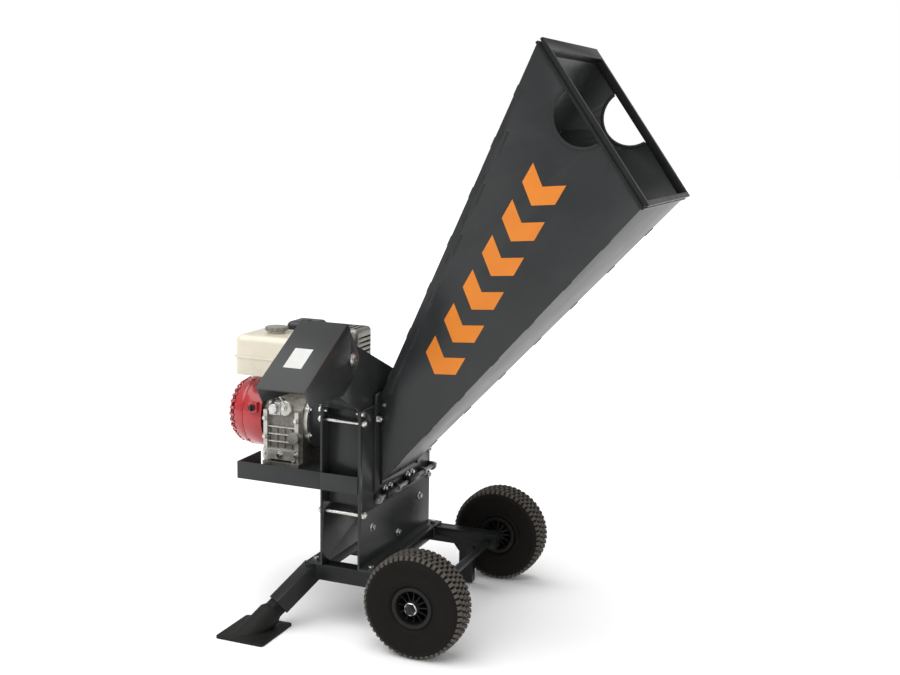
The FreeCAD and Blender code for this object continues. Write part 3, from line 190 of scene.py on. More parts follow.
class Shape:
    """A mesh being built, in millimetres."""

    def __init__(self):
        self.mesh = bmesh.new()

    def loft(self, rings, caps=True, closed=False):
        """Quads between rings of equal length; caps shut both ends unless the run is closed."""
        rows = [[self.mesh.verts.new(point) for point in ring] for ring in rings]
        pairs = list(zip(rows, rows[1:] + rows[:1])) if closed else list(zip(rows, rows[1:]))
        for low, high in pairs:
            count = len(low)
            for i in range(count):
                j = (i + 1) % count
                self.mesh.faces.new((low[i], low[j], high[j], high[i]))
        if caps and not closed:
            self.mesh.faces.new(list(reversed(rows[0])))
            self.mesh.faces.new(rows[-1])
        return rows

    def box(self, low, high):
        """A block from corner to corner."""
        (x0, y0, z0), (x1, y1, z1) = low, high
        rings = [[Vector((x0, y0, z)), Vector((x1, y0, z)), Vector((x1, y1, z)), Vector((x0, y1, z))]
                 for z in (z0, z1)]
        self.loft(rings)

    def lathe(self, profile, centre, axis, steps=48, closed=False):
        """Turn (radius, distance along) pairs about an axis through `centre`."""
        turn = turn_from_z(axis)
        centre = Vector(centre)
        rings = [[centre + turn @ Vector((r * math.cos(a), r * math.sin(a), h))
                  for a in (2 * math.pi * i / steps for i in range(steps))] for r, h in profile]
        self.loft(rings, closed=closed)

    def hexagon(self, centre, axis, across, height, dome=0.8):
        """A hex head or nut with a chamfered top, standing on `centre`."""
        turn = turn_from_z(axis)
        centre = Vector(centre)
        corner = across / math.sqrt(3)
        rings = []
        for radius, level in ((corner, 0), (corner, height - dome), (corner * 0.88, height)):
            rings.append([centre + turn @ Vector((radius * math.cos(a), radius * math.sin(a), level))
                          for a in (math.pi / 3 * i for i in range(6))])
        self.loft(rings)

    def bolt(self, centre, axis, across, height=None, washer=True):
        """A hex head on a plain washer."""
        centre = Vector(centre)
        unit = Vector(axis).normalized()
        lift = 1.6 if washer else 0
        if washer:
            edge = across * 0.82
            disc = [(across * 0.8, -0.3), (edge, 0.2), (edge, 1.2), (across * 0.78, lift)]
            self.lathe(disc, centre, axis, 28)
        self.hexagon(centre + unit * (lift - 0.2), axis, across, height or across * 0.55)

    def tube(self, path, radius, steps=12, ripple=None):
        """A round bar along a path; `ripple` gives each ring's own radius factor."""
        path = [Vector(point) for point in path]
        tangents = []
        for i in range(len(path)):
            tangents.append((path[min(i + 1, len(path) - 1)] - path[max(i - 1, 0)]).normalized())
        across = tangents[0].orthogonal().normalized()
        rings = []
        for i, (point, tangent) in enumerate(zip(path, tangents)):
            across = (across - tangent * across.dot(tangent)).normalized()
            other = tangent.cross(across)
            size = radius * (ripple[i] if ripple else 1)
            rings.append([point + (across * math.cos(a) + other * math.sin(a)) * size
                          for a in (2 * math.pi * k / steps for k in range(steps))])
        self.loft(rings)

    def weld(self, start, end, radius=2.6, pitch=2.4):
        """An arc weld: overlapping ripples along a straight joint."""
        start, end = Vector(start), Vector(end)
        length = (end - start).length
        rows = max(6, int(length / pitch * 3))
        path = []
        ripple = []
        for i in range(rows + 1):
            path.append(start.lerp(end, i / rows))
            phase = i / 3 * 2 * math.pi
            wander = 0.92 + 0.10 * math.cos(phase) + 0.05 * math.sin(i * 1.7 + start.x * 0.13)
            ripple.append(wander * (0.55 if i in (0, rows) else 1))
        self.tube(path, radius, 8, ripple)

    def prism(self, outline, direction):
        """Sweep a flat outline of 3-D points along `direction`."""
        points = [Vector(point) for point in outline]
        self.loft([points, [point + Vector(direction) for point in points]])

    def done(self, name, material, body, replaces=(), edge=0.0, angle=35):
        """Make the object, round its edges by `edge` mm and hang it on its body."""
        bmesh.ops.recalc_face_normals(self.mesh, faces=self.mesh.faces)
        for vertex in self.mesh.verts:
            vertex.co *= MM
        data = bpy.data.meshes.new(name)
        self.mesh.to_mesh(data)
        self.mesh.free()
        return finish_piece(name, data, material, body, replaces, edge, angle)


def finish_piece(name, data, material, body, replaces, edge, angle):
    """Object for a mesh: smooth shading, rounded edges, material, body."""
    piece = bpy.data.objects.new(name, data)
    bpy.context.scene.collection.objects.link(piece)
    data.materials.clear()
    data.materials.append(MATERIALS[material])
    for face in data.polygons:
        face.use_smooth = True
    if edge:
        bevel = piece.modifiers.new("rounded edges", "BEVEL")
        bevel.width = edge * MM
        bevel.segments = 2
        bevel.limit_method = "ANGLE"
        bevel.angle_limit = math.radians(angle)
        bevel.harden_normals = True
    else:
        data.set_sharp_from_angle(angle=math.radians(angle))
    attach(piece, body)
    if replaces:
        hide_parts(*replaces)
    return piece


def softened(node, material, edge=0.8, angle=35):
    """The CAD node's own shape with its sharp edges rounded, shown in its place."""
    source = frame["nodes"][node]
    mesh = bmesh.new()
    mesh.from_mesh(source.data)
    bmesh.ops.remove_doubles(mesh, verts=mesh.verts, dist=2e-6)
    bmesh.ops.dissolve_limit(mesh, angle_limit=math.radians(0.6), verts=mesh.verts, edges=mesh.edges)
    data = bpy.data.meshes.new(node + "_shown")
    mesh.to_mesh(data)
    mesh.free()
    return finish_piece(node + "_shown", data, material, BODY_OF[node], (node,), edge, angle)


# ---- sizes that a user may change ---------------------------------------------------------

class WheelSettings(bpy.types.PropertyGroup):
    """Sizes of the tyres and rims."""
    blocks: bpy.props.IntProperty(name="Tread blocks", description="Blocks in one row round the tyre",
                                  default=54, min=12, max=90)
    tread: bpy.props.FloatProperty(name="Tread depth", default=5.2, min=1, max=9,
                                   description="Height of the tread blocks, in millimetres")
    ribs: bpy.props.IntProperty(name="Rim ribs", description="Moulded ribs round the hub",
                                default=12, min=4, max=24)


class GraphicSettings(bpy.types.PropertyGroup):
    """The orange chevrons along the hopper."""
    count: bpy.props.IntProperty(name="Chevrons", description="Chevrons along the hopper",
                                 default=6, min=1, max=10)
    height: bpy.props.FloatProperty(name="Height", description="Height of the band, in millimetres",
                                    default=94, min=20, max=140)


class FinishSettings(bpy.types.PropertyGroup):
    """Rounding of pressed, cast and machined edges."""
    sheet_edge: bpy.props.FloatProperty(name="Sheet edge", default=0.7, min=0.1, max=1.4,
                                        description="Rounding of sheet edges, in millimetres")
    bar_edge: bpy.props.FloatProperty(name="Bar edge", description="Rounding of square tube, in millimetres",
                                      default=2.0, min=0.2, max=4)
    cast_edge: bpy.props.FloatProperty(name="Casting edge", default=2.2, min=0.2, max=4,
                                       description="Rounding of castings, in millimetres")


class StageSettings(bpy.types.PropertyGroup):
    """Floor and studio light."""
    floor: bpy.props.FloatVectorProperty(name="Floor colour", description="Colour of the floor",
                                         subtype="COLOR", default=(1.0, 1.0, 1.0), min=0, max=1)
    sun: bpy.props.FloatProperty(name="Overhead light", description="Strength of the soft overhead light",
                                 default=2.6, min=0)
    sky: bpy.props.FloatProperty(name="Surrounding light", description="Strength of the light from all round",
                                 default=0.56, min=0)


class Piece(bpy.types.Operator):
    """Base of the operators that build one group of pieces."""
    bl_idname = "chipper.piece"
    bl_label = "Piece"
    bl_options = {"REGISTER", "UNDO"}


# ---- wheels -------------------------------------------------------------------------------

AXLE_Z = 130
WHEEL_Y = 293
TYRE_HALF = [(50, 29), (52.5, 33), (56, 36.5), (58.5, 38.6), (61, 40.4), (64, 40.2), (66, 39.6), (72, 41.6),
             (82, 43.4), (92, 43.9), (102, 43.1), (108, 42.0), (109.5, 42.3), (111, 41.6), (117, 38.6),
             (121.4, 34.5), (123.6, 28), (124.6, 14)]


def carcass_radius(across):
    """Radius of the carcass where it is `across` mm from the tyre's middle."""
    points = [(half, radius) for radius, half in TYRE_HALF[9:]] + [(0, 125)]
    for (a, ra), (b, rb) in zip(points, points[1:]):
        if b <= abs(across) <= a:
            return ra + (rb - ra) * (a - abs(across)) / (a - b)
    return 125


def build_tyre(name, side, settings):
    """Pneumatic tyre: bulged side walls with a bead ring, and staggered tread blocks in five rows."""
    shape = Shape()
    middle = side * WHEEL_Y
    profile = [(r, -h) for r, h in TYRE_HALF] + [(125, 0)] + [(r, h) for r, h in reversed(TYRE_HALF)]
    shape.lathe(profile, (0, middle, AXLE_Z), Y, 128, closed=True)
    shape.done("tyre_" + name + "_shown", "tyre_rubber", "wheel_" + name, ("tyre_" + name,),
               angle=32)
    blocks = Shape()
    pitch = 2 * math.pi / settings.blocks
    rows = ((-37, -27.5, 0.0, 0.66, 0.0), (-24.5, -10.5, 0.5, 0.62, 0.16), (-7, 7, 0.0, 0.6, -0.16),
            (10.5, 24.5, 0.5, 0.62, 0.16), (27.5, 37, 0.0, 0.66, 0.0))
    for low, high, stagger, fill, skew in rows:
        for index in range(settings.blocks):
            rings = []
            for height, draft in ((-4, 0), (settings.tread * 0.75, 0.5), (settings.tread, 1.2)):
                ring = []
                for across, along in ((low, -1), (high, -1), (high, 1), (low, 1)):
                    inward = (1 if across == low else -1) * draft
                    spot = across + inward
                    radius = min(carcass_radius(across) + height, 129.9)
                    slant = skew * (across - (low + high) / 2) / (high - low)
                    angle = (index + stagger + along * fill / 2 + slant) * pitch - along * draft / radius
                    height_there = AXLE_Z + radius * math.cos(angle)
                    ring.append(Vector((radius * math.sin(angle), middle + spot, height_there)))
                rings.append(ring)
            blocks.loft(rings)
    # The tread blocks take the lighter rubber: part dust, part a painted highlight on the block tops.
    blocks.done("tread_" + name, "dusty_rubber", "wheel_" + name, angle=32)


def build_rim(name, side, settings):
    """Moulded rim: deep outer ring, thin web, ribs on both faces and a hub tube."""
    shape = Shape()
    middle = side * WHEEL_Y
    centre = (0, middle, AXLE_Z)
    outer_half = [(50, -30), (52, -31.5), (52.6, -34), (50.8, -36), (47, -36.4), (42.5, -35), (40.6, -32),
                  (39.6, -24), (38.4, -12)]
    ring = outer_half + [(38.2, 0)]
    ring += [(radius, -along) for radius, along in reversed(outer_half)] + [(49.8, 0)]
    shape.lathe(ring, centre, Y, 72, closed=True)
    hub_half = [(11, -30), (16.2, -30), (17, -29), (18.6, -8), (22, -5), (38.8, -4)]
    hub = hub_half + [(radius, -along) for radius, along in reversed(hub_half)]
    shape.lathe(hub, centre, Y, 48, closed=True)
    for index in range(settings.ribs):
        turn = Matrix.Rotation(2 * math.pi * index / settings.ribs, 3, "Y")
        for face in (-1, 1):
            outline = [(16.6, 3), (39.2, 3), (39.4, 22), (34, 20), (24, 23.5), (16.6, 27)]
            low = [turn @ Vector((r, 0, 0)) + Vector((0, h * face, 0)) for r, h in outline]
            side_step = turn @ Vector((0, 0, 1))
            points = [Vector(centre) + point - side_step * 1.5 for point in low]
            shape.prism(points, side_step * 3)
    shape.done("rim_" + name + "_shown", "moulded_pp", "wheel_" + name, ("rim_" + name,),
               edge=0.5)


class WheelsOperator(Piece):
    """Tyres and rims."""
    bl_idname = "chipper.wheels"
    bl_label = "Wheels"

    def execute(self, context):
        settings = context.scene.chipper_wheels
        for name, side in SIDES:
            build_tyre(name, side, settings)
            build_rim(name, side, settings)
        softened("axle", "powder_coat", 0.5)
        softened("axle_nuts", "black_oxide", 0.6)
        nut_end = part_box("axle_nuts")[1].y / MM - 5.3
        section = [(6.4, 0), (15, 0), (16, 1), (16, 3), (14.8, 4.4), (12, 5.2), (8, 5.2), (6.4, 4.4)]
        for name, side in SIDES:
            ring = Shape()
            ring.lathe(section, (0, side * nut_end, AXLE_Z), Y * side, 48, closed=True)
            ring.done("hub_ring_" + name, "zinc_plate", "chassis", edge=0.3)
        return {"FINISHED"}


# ---- stand --------------------------------------------------------------------------------

BEAM_Y = 200
BEAM_LOW = 116


class StandOperator(Piece):
    """Side beams, cross-beams, rest posts and splayed legs, with their welds."""
    bl_idname = "chipper.stand"
    bl_label = "Stand"

    def execute(self, context):
        settings = context.scene.chipper_finish
        for node in ("side_beams", "cross_beams", "rest_posts", "leg_sleeves"):
            softened(node, "powder_coat", settings.bar_edge, 50)
        for node in ("leg_foot_near", "leg_foot_far"):
            softened(node, "worn_coat", 1.0, 50)
        softened("leg_pins", "zinc_plate", 0.6)
        welds = Shape()
        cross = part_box("cross_beams")
        for side in (-1, 1):
            inner = side * (BEAM_Y - 20)
            for x in (cross[0].x / MM, cross[0].x / MM + 30, cross[1].x / MM - 30, cross[1].x / MM):
                welds.weld((x, inner, cross[0].z / MM + 2), (x, inner, cross[1].z / MM - 2), 2.4)
            for x in (-84, -44):
                welds.weld((x, side * 190, BEAM_LOW), (x, side * 215, BEAM_LOW), 2.4)
        welds.done("stand_welds", "coated_weld", "chassis", angle=60)
        return {"FINISHED"}


# ---- housing ------------------------------------------------------------------------------

PLATE_X = -191
SHAFT_Z = 482


class HousingOperator(Piece):
    """Rotor housing, tray, spacer rods and everything that holds them."""
    bl_idname = "chipper.housing"
    bl_label = "Housing"

    def execute(self, context):
        settings = context.scene.chipper_finish
        for node in ("hopper_side_plate", "engine_side_plate", "chamber_band", "chamber_apron", "engine_tray",
                     "coupling_guard"):
            softened(node, "powder_coat_sheet", settings.sheet_edge)
        softened("hinge_pin", "ground_steel", 0.5)
        softened("bed_knife", "tool_steel", 0.4)
        softened("shaft_bearing", "die_cast", 1.5)
        for node in ("spacer_rods", "rod_nuts", "frame_bolts", "engine_bolts"):
            softened(node, "zinc_plate", 0.6)
        steel = Shape()
        for y, z in ((10, 188), (-150, 250), (150, 250)):
            steel.bolt((PLATE_X, y, z), X, 13, 7)
        for y in (-70, 70):
            for z in (SHAFT_Z - 60, SHAFT_Z + 60):
                steel.bolt((PLATE_X, y, z), X, 11, 6)
        steel.done("housing_screws", "zinc_plate", "chassis", edge=0.4)
        return {"FINISHED"}


class RotorOperator(Piece):
    """Disc, blades, paddles and shaft."""
    bl_idname = "chipper.rotor"
    bl_label = "Rotor"

    def execute(self, context):
        for node in ("rotor_disc", "fan_paddles", "rotor_shaft", "crankshaft"):
            softened(node, "ground_steel", 0.6)
        softened("rotor_blades", "tool_steel", 0.4)
        softened("blade_bolts", "zinc_plate", 0.5)
        softened("flywheel", "die_cast", 0.8)
        return {"FINISHED"}


# ---- chute and hood -----------------------------------------------------------------------

HOOD_CREST = Vector((-274, -304, 797))
HOOD_FALL = Vector((0, -214, -125))
PLATE_DOWN = 102
PLATE_SIZE = (47, 69)


class ChuteOperator(Piece):
    """Chip chute, tilting hood, its pivot bolts and the blank plate on it."""
    bl_idname = "chipper.chute"
    bl_label = "Chute and hood"

    def execute(self, context):
        settings = context.scene.chipper_finish
        softened("chute", "powder_coat_sheet", settings.sheet_edge)
        softened("hood", "powder_coat_sheet", 1.3)
        softened("hood_bolts", "zinc_plate", 0.6)
        slope = HOOD_FALL.normalized()
        lift = Vector((0, HOOD_FALL.z, -HOOD_FALL.y)).normalized()
        plate = Shape()
        start = HOOD_CREST + slope * PLATE_DOWN
        side = X * PLATE_SIZE[0]
        down = slope * PLATE_SIZE[1]
        corners = [start, start + side, start + side + down, start + down]
        plate.prism([corner + lift * 0.02 for corner in corners], lift * 0.35)
        plate.done("hood_plate", "white_vinyl", "hood", edge=0.1)
        return {"FINISHED"}


# ---- hopper -------------------------------------------------------------------------------

MOUTH_TOP = Vector((234.0, 218, 1442.1))
MOUTH_LOW = Vector((484.25, 218, 1090.0))
THROAT_TOP = Vector((-185.5, 125.1, 579))
THROAT_LOW = Vector((-185.5, 110.9, 358))
PANEL_OUT = Vector((-0.089, 0.994, -0.064)).normalized()
HAND_HOLE = 72


def mirrored(point, side):
    """A far-side point, or its twin on the near side."""
    return Vector((point[0], point[1] * side, point[2]))


def on_panel(x, z, side, lift=0.0):
    """Point on the outside of a hopper side panel."""
    normal = (MOUTH_LOW - MOUTH_TOP).cross(THROAT_LOW - MOUTH_TOP).normalized()
    if normal.y < 0:
        normal = -normal
    y = MOUTH_TOP.y - (normal.x * (x - MOUTH_TOP.x) + normal.z * (z - MOUTH_TOP.z)) / normal.y
    return mirrored(Vector((x, y, z)) + normal * lift, side)


class HopperOperator(Piece):
    """Feed hopper with its seams, rolled mouth, flange, curtain and orange chevrons."""
    bl_idname = "chipper.hopper"
    bl_label = "Hopper"

    def execute(self, context):
        settings = context.scene.chipper_finish
        for node in ("hopper_near_panel", "hopper_far_panel", "hopper_top_panel", "hopper_bottom_panel",
                     "throat_flange"):
            softened(node, "powder_coat_sheet", settings.sheet_edge)
        softened("mouth_rim", "powder_coat", 0.9)
        softened("hopper_hinge", "powder_coat", 0.6)
        softened("latch_bolt", "zinc_plate", 0.5)
        softened("feed_curtain", "sheet_rubber", 0.8)
        self.seams()
        self.edging()
        self.throat_fittings()
        self.chevrons(context.scene.chipper_graphic)
        return {"FINISHED"}

    def seams(self):
        """Tab slots along the top edge and weld beads at the lower corners and the throat."""
        tabs = Shape()
        beads = Shape()
        along = (MOUTH_TOP - THROAT_TOP).normalized()
        inward = (MOUTH_LOW - MOUTH_TOP).normalized()
        for side in (-1, 1):
            length = (MOUTH_TOP - THROAT_TOP).length
            step = length / 9
            for index in range(1, 9):
                at = THROAT_TOP + along * (step * index) + inward * 14
                corners = [at - along * 13, at + along * 13, at + along * 13 + inward * 3.4,
                           at - along * 13 + inward * 3.4]
                low = [on_panel(c.x, c.z, side, -0.4) for c in corners]
                tabs.prism(low, mirrored(PANEL_OUT, side) * 0.75)
            for start, end in ((THROAT_LOW, MOUTH_LOW), (THROAT_TOP, MOUTH_TOP)):
                run = end - start
                for index in range(7):
                    a = start + run * (0.06 + index * 0.135)
                    b = start + run * (0.06 + index * 0.135 + 0.028)
                    beads.weld(mirrored(a, side) - Vector((0, side * 1.2, 0)),
                               mirrored(b, side) - Vector((0, side * 1.2, 0)), 1.8)
        # The tab slots are near-black sheets of painted shade.
        tabs.done("hopper_tab_slots", "raw_edge", "hopper", angle=30)
        beads.done("hopper_stitch_welds", "coated_weld", "hopper", angle=60)

    def edging(self):
        """Beaded edging round the hand holes."""
        centre = MOUTH_TOP.lerp(MOUTH_LOW, 0.44)
        down = (MOUTH_LOW - MOUTH_TOP).normalized()
        inward = Vector((down.z, 0, -down.x))
        for name, side in SIDES:
            trim = Shape()
            path = []
            for index in range(41):
                turn = math.radians(-87 + 174 * index / 40)
                spot = centre + (inward * math.cos(turn) + down * math.sin(turn)) * HAND_HOLE
                path.append(on_panel(spot.x, spot.z, side, -1.5))
            trim.tube(path, 4.2, 14)
            trim.done("hand_hole_edging_" + name, "sheet_rubber", "hopper", angle=60)

    def throat_fittings(self):
        """Stiffening plates beside the throat, the flange screws and the screws of the hinge leaves."""
        plates = Shape()
        steel = Shape()
        outline = ((-185, 353), (-185, 582), (-172, 582), (-164, 546), (-176, 512), (-180, 353))
        for side in (-1, 1):
            plates.prism([on_panel(x, z, side, 0.1) for x, z in outline], mirrored(PANEL_OUT, side) * 2.4)
            steel.bolt(on_panel(-170, 566, side, 0.2), mirrored(PANEL_OUT, side), 9, 4, washer=False)
        for y in (-85, -55, 55, 85):
            steel.bolt((-185.6, y, 336), X, 11, 6)
        plates.done("throat_gussets", "powder_coat", "hopper", edge=0.6)
        steel.done("throat_screws", "zinc_plate", "hopper", edge=0.4)

    def chevrons(self, settings):
        """Plain orange chevrons on both side panels, pointing down to the throat."""
        low = Vector((-27, 0, 662))
        high = Vector((276, 0, 1170))
        run = high - low
        along = run.normalized()
        across = Vector((along.z, 0, -along.x))
        pitch = run.length / settings.count
        for name, side in SIDES:
            film = Shape()
            for index in range(settings.count):
                tip = low + along * (pitch * index)
                spots = ((0, 0), (0.34, -0.5), (0.86, -0.5), (0.52, 0), (0.86, 0.5), (0.34, 0.5))
                flat = [tip + along * (s * pitch) + across * (t * settings.height) for s, t in spots]
                halves = ((flat[0], flat[1], flat[2], flat[3]), (flat[0], flat[3], flat[4], flat[5]))
                for corners in halves:
                    points = [on_panel(c.x, c.z, side, 0.05) for c in corners]
                    film.prism(points, mirrored(PANEL_OUT, side) * 0.3)
            film.done("chevrons_" + name, "orange_vinyl", "hopper", angle=30)


# ---- engine -------------------------------------------------------------------------------

FAN_X = -603
FAN_RADIUS = 95
CASE_FRONT = -545
CASE_BACK = -430
BASE_Z = 359
CASE_SIDE = -76
FLANGE_SIDE = -88
FLANGE_BOLTS_Z = (392, 436, 486)
LID_Z = SHAFT_Z + 34
COVER_BOLT_RING = 90
COVER_BOLT_ANGLES = (20, 140, 260)


class CastingsOperator(Piece):
    """Crankcase with its ribs, bosses and bolts, side cover, finned cylinder and carburettor."""
    bl_idname = "chipper.castings"
    bl_label = "Engine castings"

    def execute(self, context):
        settings = context.scene.chipper_finish
        # Painted shade: the crankcase body takes the darkened skin, so the brighter ribs stand out against
        # it.
        softened("crankcase", "die_cast_dull", settings.cast_edge)
        softened("crankcase_cover", "die_cast", 1.6)
        # Painted shade: the cylinder takes the darkened skin too.
        softened("cylinder", "die_cast_dull", 0.7)
        softened("carburettor", "die_cast", 1.2)
        self.near_face()
        self.cover_bolts()
        self.head()
        return {"FINISHED"}

    def near_face(self):
        """Ribs, bosses, governor housing and drain plug on the side that faces the chips."""
        cast = Shape()
        for index in range(5):
            z = 382 + index * 20
            cast.box((CASE_FRONT + 16, -87, z), (CASE_BACK - 16, CASE_SIDE, z + 3.2))
        for x in (CASE_FRONT + 9, CASE_BACK - 12):
            cast.box((x - 6, -90, BASE_Z + 12), (x + 6, CASE_SIDE, SHAFT_Z + 26))
            for z in FLANGE_BOLTS_Z:
                cast.lathe([(8, 0), (8, 5), (7, 6)], (x, FLANGE_SIDE, z), -Y, 20)
        cast.box((CASE_FRONT + 4, -96, BASE_Z + 18), (CASE_BACK - 14, CASE_SIDE, BASE_Z + 46))
        cast.lathe([(21, 0), (21, 12), (19, 14), (12, 15)], (-478, CASE_SIDE, LID_Z), -Y, 40)
        cast.box((-522, -93, SHAFT_Z + 16), (-489, CASE_SIDE, SHAFT_Z + 50))
        cast.lathe([(16, 0), (16, 18), (14.5, 20)], (CASE_BACK - 17, -78, BASE_Z + 81), -Y, 32)
        cast.done("crankcase_ribs", "die_cast", "chassis", edge=1.0)
        bright = Shape()
        bright.lathe([(13.5, 0), (13.5, 9), (12, 11), (6, 11.5)], (-506, -93, SHAFT_Z + 33), -Y, 32)
        bright.box((-519, -99, SHAFT_Z + 17), (-499, -90, SHAFT_Z + 26))
        bright.done("governor_cap", "machined", "chassis", edge=0.6)
        steel = Shape()
        for x in (CASE_FRONT + 9, CASE_BACK - 12):
            for z in FLANGE_BOLTS_Z:
                steel.bolt((x, -94, z), -Y, 10, 5, washer=False)
        steel.bolt((-490, -96, BASE_Z + 32), -Y, 12, 6)
        steel.bolt((-478, -91, LID_Z), -Y, 11, 6)
        steel.tube([(-470, -95, 516), (-474, -99, 534), (-486, -101, 550), (-505, -100, 560)], 1.6)
        steel.done("crankcase_screws", "zinc_plate", "chassis", edge=0.4)

    def cover_bolts(self):
        """Screws round the drive-side cover."""
        steel = Shape()
        for index in range(6):
            turn = math.radians(60 * index + 30)
            spot = (CASE_BACK + 15, 70 * math.cos(turn), SHAFT_Z - 4 + 70 * math.sin(turn))
            if spot[2] > BASE_Z + 8:
                steel.bolt(spot, X, 10, 5, washer=False)
        steel.done("side_cover_screws", "zinc_plate", "chassis", edge=0.4)

    def head(self):
        """Spark plug and rocker cover screws on the leaning head."""
        lean = Matrix.Rotation(math.radians(-65), 3, "X")
        root = Vector(((CASE_FRONT + CASE_BACK) / 2, 0, SHAFT_Z))
        up = lean @ Z
        steel = Shape()
        for x, y in ((-32, -24), (32, -24), (-32, 24), (32, 24)):
            steel.bolt(root + lean @ Vector((x, y, 211)), up, 9, 4.5, washer=False)
        plug_root = root + lean @ Vector((-30, -30, 168))
        plug_way = (lean @ Vector((-0.55, -0.75, 0.35))).normalized()
        steel.hexagon(plug_root, plug_way, 16, 12)
        steel.done("head_screws", "zinc_plate", "chassis", edge=0.4)


class CoversOperator(Piece):
    """Red fan cover and starter cover, and the starter grip."""
    bl_idname = "chipper.covers"
    bl_label = "Fan and starter covers"

    def execute(self, context):
        softened("fan_cover", "red_enamel", 3.0, 40)
        softened("starter_grip", "black_abs", 1.5)
        self.starter_cover()
        return {"FINISHED"}

    def starter_cover(self):
        """Pressed cover: rolled rim, sloping vanes with open slots between, and a stepped dome."""
        cover = Shape()
        centre = Vector((FAN_X, 0, SHAFT_Z))
        rim = [(0, 0.2), (0, 6), (-1.5, 12), (-4, 21), (-6, 28), (-8.4, 32), (-10.8, 31), (-8.6, 26),
               (-6, 19), (-3, 8), (-3, 0.2)]
        cover.lathe([(FAN_RADIUS + r, h) for r, h in rim], centre, -X, 96, closed=True)
        dome = [(0.5, 58), (22, 58), (24, 61.6), (50, 61.6), (57, 60.8), (62.5, 58.5), (65, 55.5),
                (63, 53.5), (58, 56.5), (50, 58.6), (26, 58.6), (22, 55), (0.5, 55)]
        cover.lathe(dome, centre, -X, 72)
        for index in range(28):
            turn = Matrix.Rotation(2 * math.pi * index / 28, 3, "X")
            outline = [(-56, 62), (-53, 61), (-49, 76), (-29.5, 89), (-32, 90.5), (-52, 78)]
            side_step = turn @ Y
            points = [centre + turn @ Vector((h, 0, r)) - side_step * 3.6 for h, r in outline]
            cover.prism(points, side_step * 7.2)
        for angle in COVER_BOLT_ANGLES:
            turn = Matrix.Rotation(math.radians(angle), 3, "X")
            cover.lathe([(7, 0), (7, 8), (6, 9)], centre + turn @ Vector((0, 0, COVER_BOLT_RING)), -X, 20)
        cover.done("recoil_cover_shown", "red_enamel", "chassis", ("recoil_cover",), edge=0.7)
        steel = Shape()
        for angle in COVER_BOLT_ANGLES:
            turn = Matrix.Rotation(math.radians(angle), 3, "X")
            steel.bolt(centre + turn @ Vector((-9, 0, COVER_BOLT_RING)), -X, 8, 4, washer=False)
        steel.hexagon(centre - X * 58, -X, 10, 3)
        steel.done("starter_screws", "zinc_plate", "chassis", edge=0.4)


class FuelOperator(Piece):
    """Cream fuel tank and cap, air cleaner, oil cap and controls."""
    bl_idname = "chipper.fuel"
    bl_label = "Tank and controls"

    def execute(self, context):
        softened("fuel_tank", "cream_enamel", 1.6)
        softened("fuel_cap", "grey_hdpe", 1.2)
        softened("air_cleaner", "black_abs", 1.5)
        softened("oil_cap", "grey_hdpe", 1.2)
        softened("throttle_lever", "black_abs", 0.6)
        softened("stop_switch", "black_abs", 0.6)
        box_low, box_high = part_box("air_cleaner")
        low, high = box_low / MM, box_high / MM
        trim = Shape()
        middle = (low + high) / 2
        trim.box((low.x - 1, low.y - 1, low.z + 36), (high.x + 1, high.y + 1, low.z + 41))
        knob = [(0.5, 0), (11, 0), (12, 1), (12, 2.5), (10.5, 3.5), (0.5, 4)]
        trim.lathe(knob, (middle.x, middle.y, high.z - 1), Z, 32)
        trim.done("air_cleaner_trim", "black_abs", "chassis", edge=0.8)
        return {"FINISHED"}


class ExhaustOperator(Piece):
    """Muffler and its louvred guard."""
    bl_idname = "chipper.exhaust"
    bl_label = "Exhaust"

    def execute(self, context):
        softened("muffler", "aluminised_steel", 1.5)
        softened("muffler_guard", "aluminised_steel", 0.7)
        return {"FINISHED"}


# ---- stage --------------------------------------------------------------------------------

CAMERA_AT = Vector((1.11724, -2.87509, 1.26994))
CAMERA_AZIMUTH = 22.04
CAMERA_DROP = 9.9
CAMERA_ROLL = 1.06
LENS = 49.48


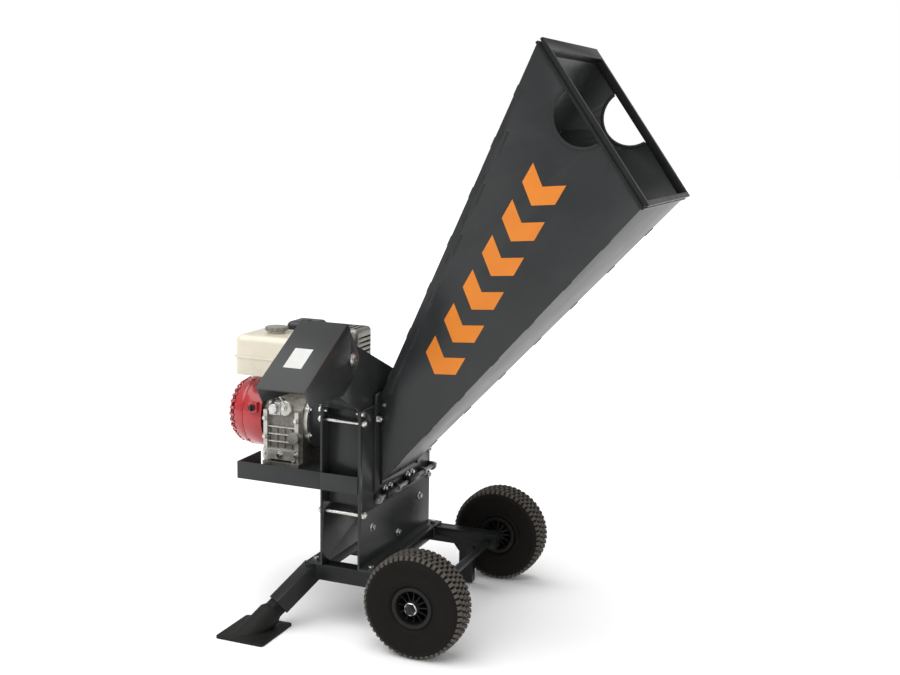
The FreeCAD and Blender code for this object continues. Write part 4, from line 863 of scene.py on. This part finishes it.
class StageOperator(Piece):
    """Pale floor, soft studio light and the camera."""
    bl_idname = "chipper.stage"
    bl_label = "Stage"

    def execute(self, context):
        settings = context.scene.chipper_stage
        self.floor(settings)
        self.lights(context, settings)
        self.camera(context)
        return {"FINISHED"}

    def floor(self, settings):
        """A wide matt floor."""
        sheet = bmesh.new()
        bmesh.ops.create_grid(sheet, x_segments=1, y_segments=1, size=30)
        data = bpy.data.meshes.new("floor")
        sheet.to_mesh(data)
        sheet.free()
        floor = bpy.data.objects.new("floor", data)
        bpy.context.scene.collection.objects.link(floor)
        material = bpy.data.materials.new("matt_floor")
        material.use_nodes = True
        shader = material.node_tree.nodes["Principled BSDF"]
        shader.inputs["Base Color"].default_value = (*settings.floor, 1)
        shader.inputs["Roughness"].default_value = 0.9
        data.materials.append(material)

    def lights(self, context, settings):
        """White surroundings that light the object softly, a broad overhead source and a small front one."""
        world = bpy.data.worlds.new("studio")
        world.use_nodes = True
        tree = world.node_tree
        tree.nodes.clear()
        seen = add(tree, "ShaderNodeLightPath").outputs["Is Camera Ray"]
        strength = add(tree, "ShaderNodeMapRange", {"Value": seen, "To Min": settings.sky, "To Max": 1.0})
        background = add(tree, "ShaderNodeBackground", {"Color": (1, 1, 1, 1),
                                                        "Strength": strength.outputs["Result"]})
        add(tree, "ShaderNodeOutputWorld", {"Surface": background.outputs["Background"]})
        context.scene.world = world
        overhead = bpy.data.lights.new("overhead", "SUN")
        overhead.energy = settings.sun
        overhead.angle = math.radians(75)
        front = bpy.data.lights.new("front", "AREA")
        front.size = 1.6
        front.energy = 22
        for data, at in ((overhead, Vector((-0.7, -0.9, 3.4))), (front, Vector((2.6, -3.4, 2.2)))):
            lamp = bpy.data.objects.new(data.name, data)
            lamp.location = at
            lamp.rotation_euler = (Vector((0, 0, 0.6)) - at).to_track_quat("-Z", "Y").to_euler()
            context.scene.collection.objects.link(lamp)

    def camera(self, context):
        """The camera, level but for a slight roll."""
        a, e, roll = (math.radians(v) for v in (CAMERA_AZIMUTH, CAMERA_DROP, CAMERA_ROLL))
        ahead = Vector((-math.sin(a) * math.cos(e), math.cos(a) * math.cos(e), -math.sin(e)))
        right = Vector((math.cos(a), math.sin(a), 0))
        up = right.cross(ahead)
        across = right * math.cos(roll) + up * math.sin(roll)
        up = up * math.cos(roll) - right * math.sin(roll)
        data = bpy.data.cameras.new("camera")
        data.lens = LENS
        camera = bpy.data.objects.new("camera", data)
        camera.matrix_world = Matrix((across, up, -ahead)).transposed().to_4x4()
        camera.location = CAMERA_AT
        context.scene.collection.objects.link(camera)
        context.scene.camera = camera
        context.scene.view_settings.view_transform = "Standard"


# ---- panel and registration ---------------------------------------------------------------

OPERATORS = (WheelsOperator, StandOperator, HousingOperator, RotorOperator, ChuteOperator, HopperOperator,
             CastingsOperator, CoversOperator, FuelOperator, ExhaustOperator, StageOperator)
SETTINGS = (("chipper_wheels", WheelSettings), ("chipper_graphic", GraphicSettings),
            ("chipper_finish", FinishSettings), ("chipper_stage", StageSettings))


class ChipperPanel(bpy.types.Panel):
    """Lists the pieces and their sizes."""
    bl_idname = "VIEW3D_PT_chipper"
    bl_label = "Wood Chipper"
    bl_space_type = "VIEW_3D"
    bl_region_type = "UI"
    bl_category = "Chipper"

    def draw(self, context):
        for name, group in SETTINGS:
            column = self.layout.column(heading=group.bl_rna.name)
            for key in group.__annotations__:
                column.prop(getattr(context.scene, name), key)
        for operator in OPERATORS:
            self.layout.operator(operator.bl_idname)


def register():
    for name, group in SETTINGS:
        bpy.utils.register_class(group)
        setattr(bpy.types.Scene, name, bpy.props.PointerProperty(type=group))
    for kind in (*OPERATORS, ChipperPanel):
        bpy.utils.register_class(kind)


def unregister():
    for kind in reversed((*OPERATORS, ChipperPanel)):
        bpy.utils.unregister_class(kind)
    for name, group in reversed(SETTINGS):
        delattr(bpy.types.Scene, name)
        bpy.utils.unregister_class(group)


def main():
    register()
    for operator in OPERATORS:
        module, function = operator.bl_idname.split(".")
        getattr(getattr(bpy.ops, module), function)()


if __name__ == "__main__":
    main()
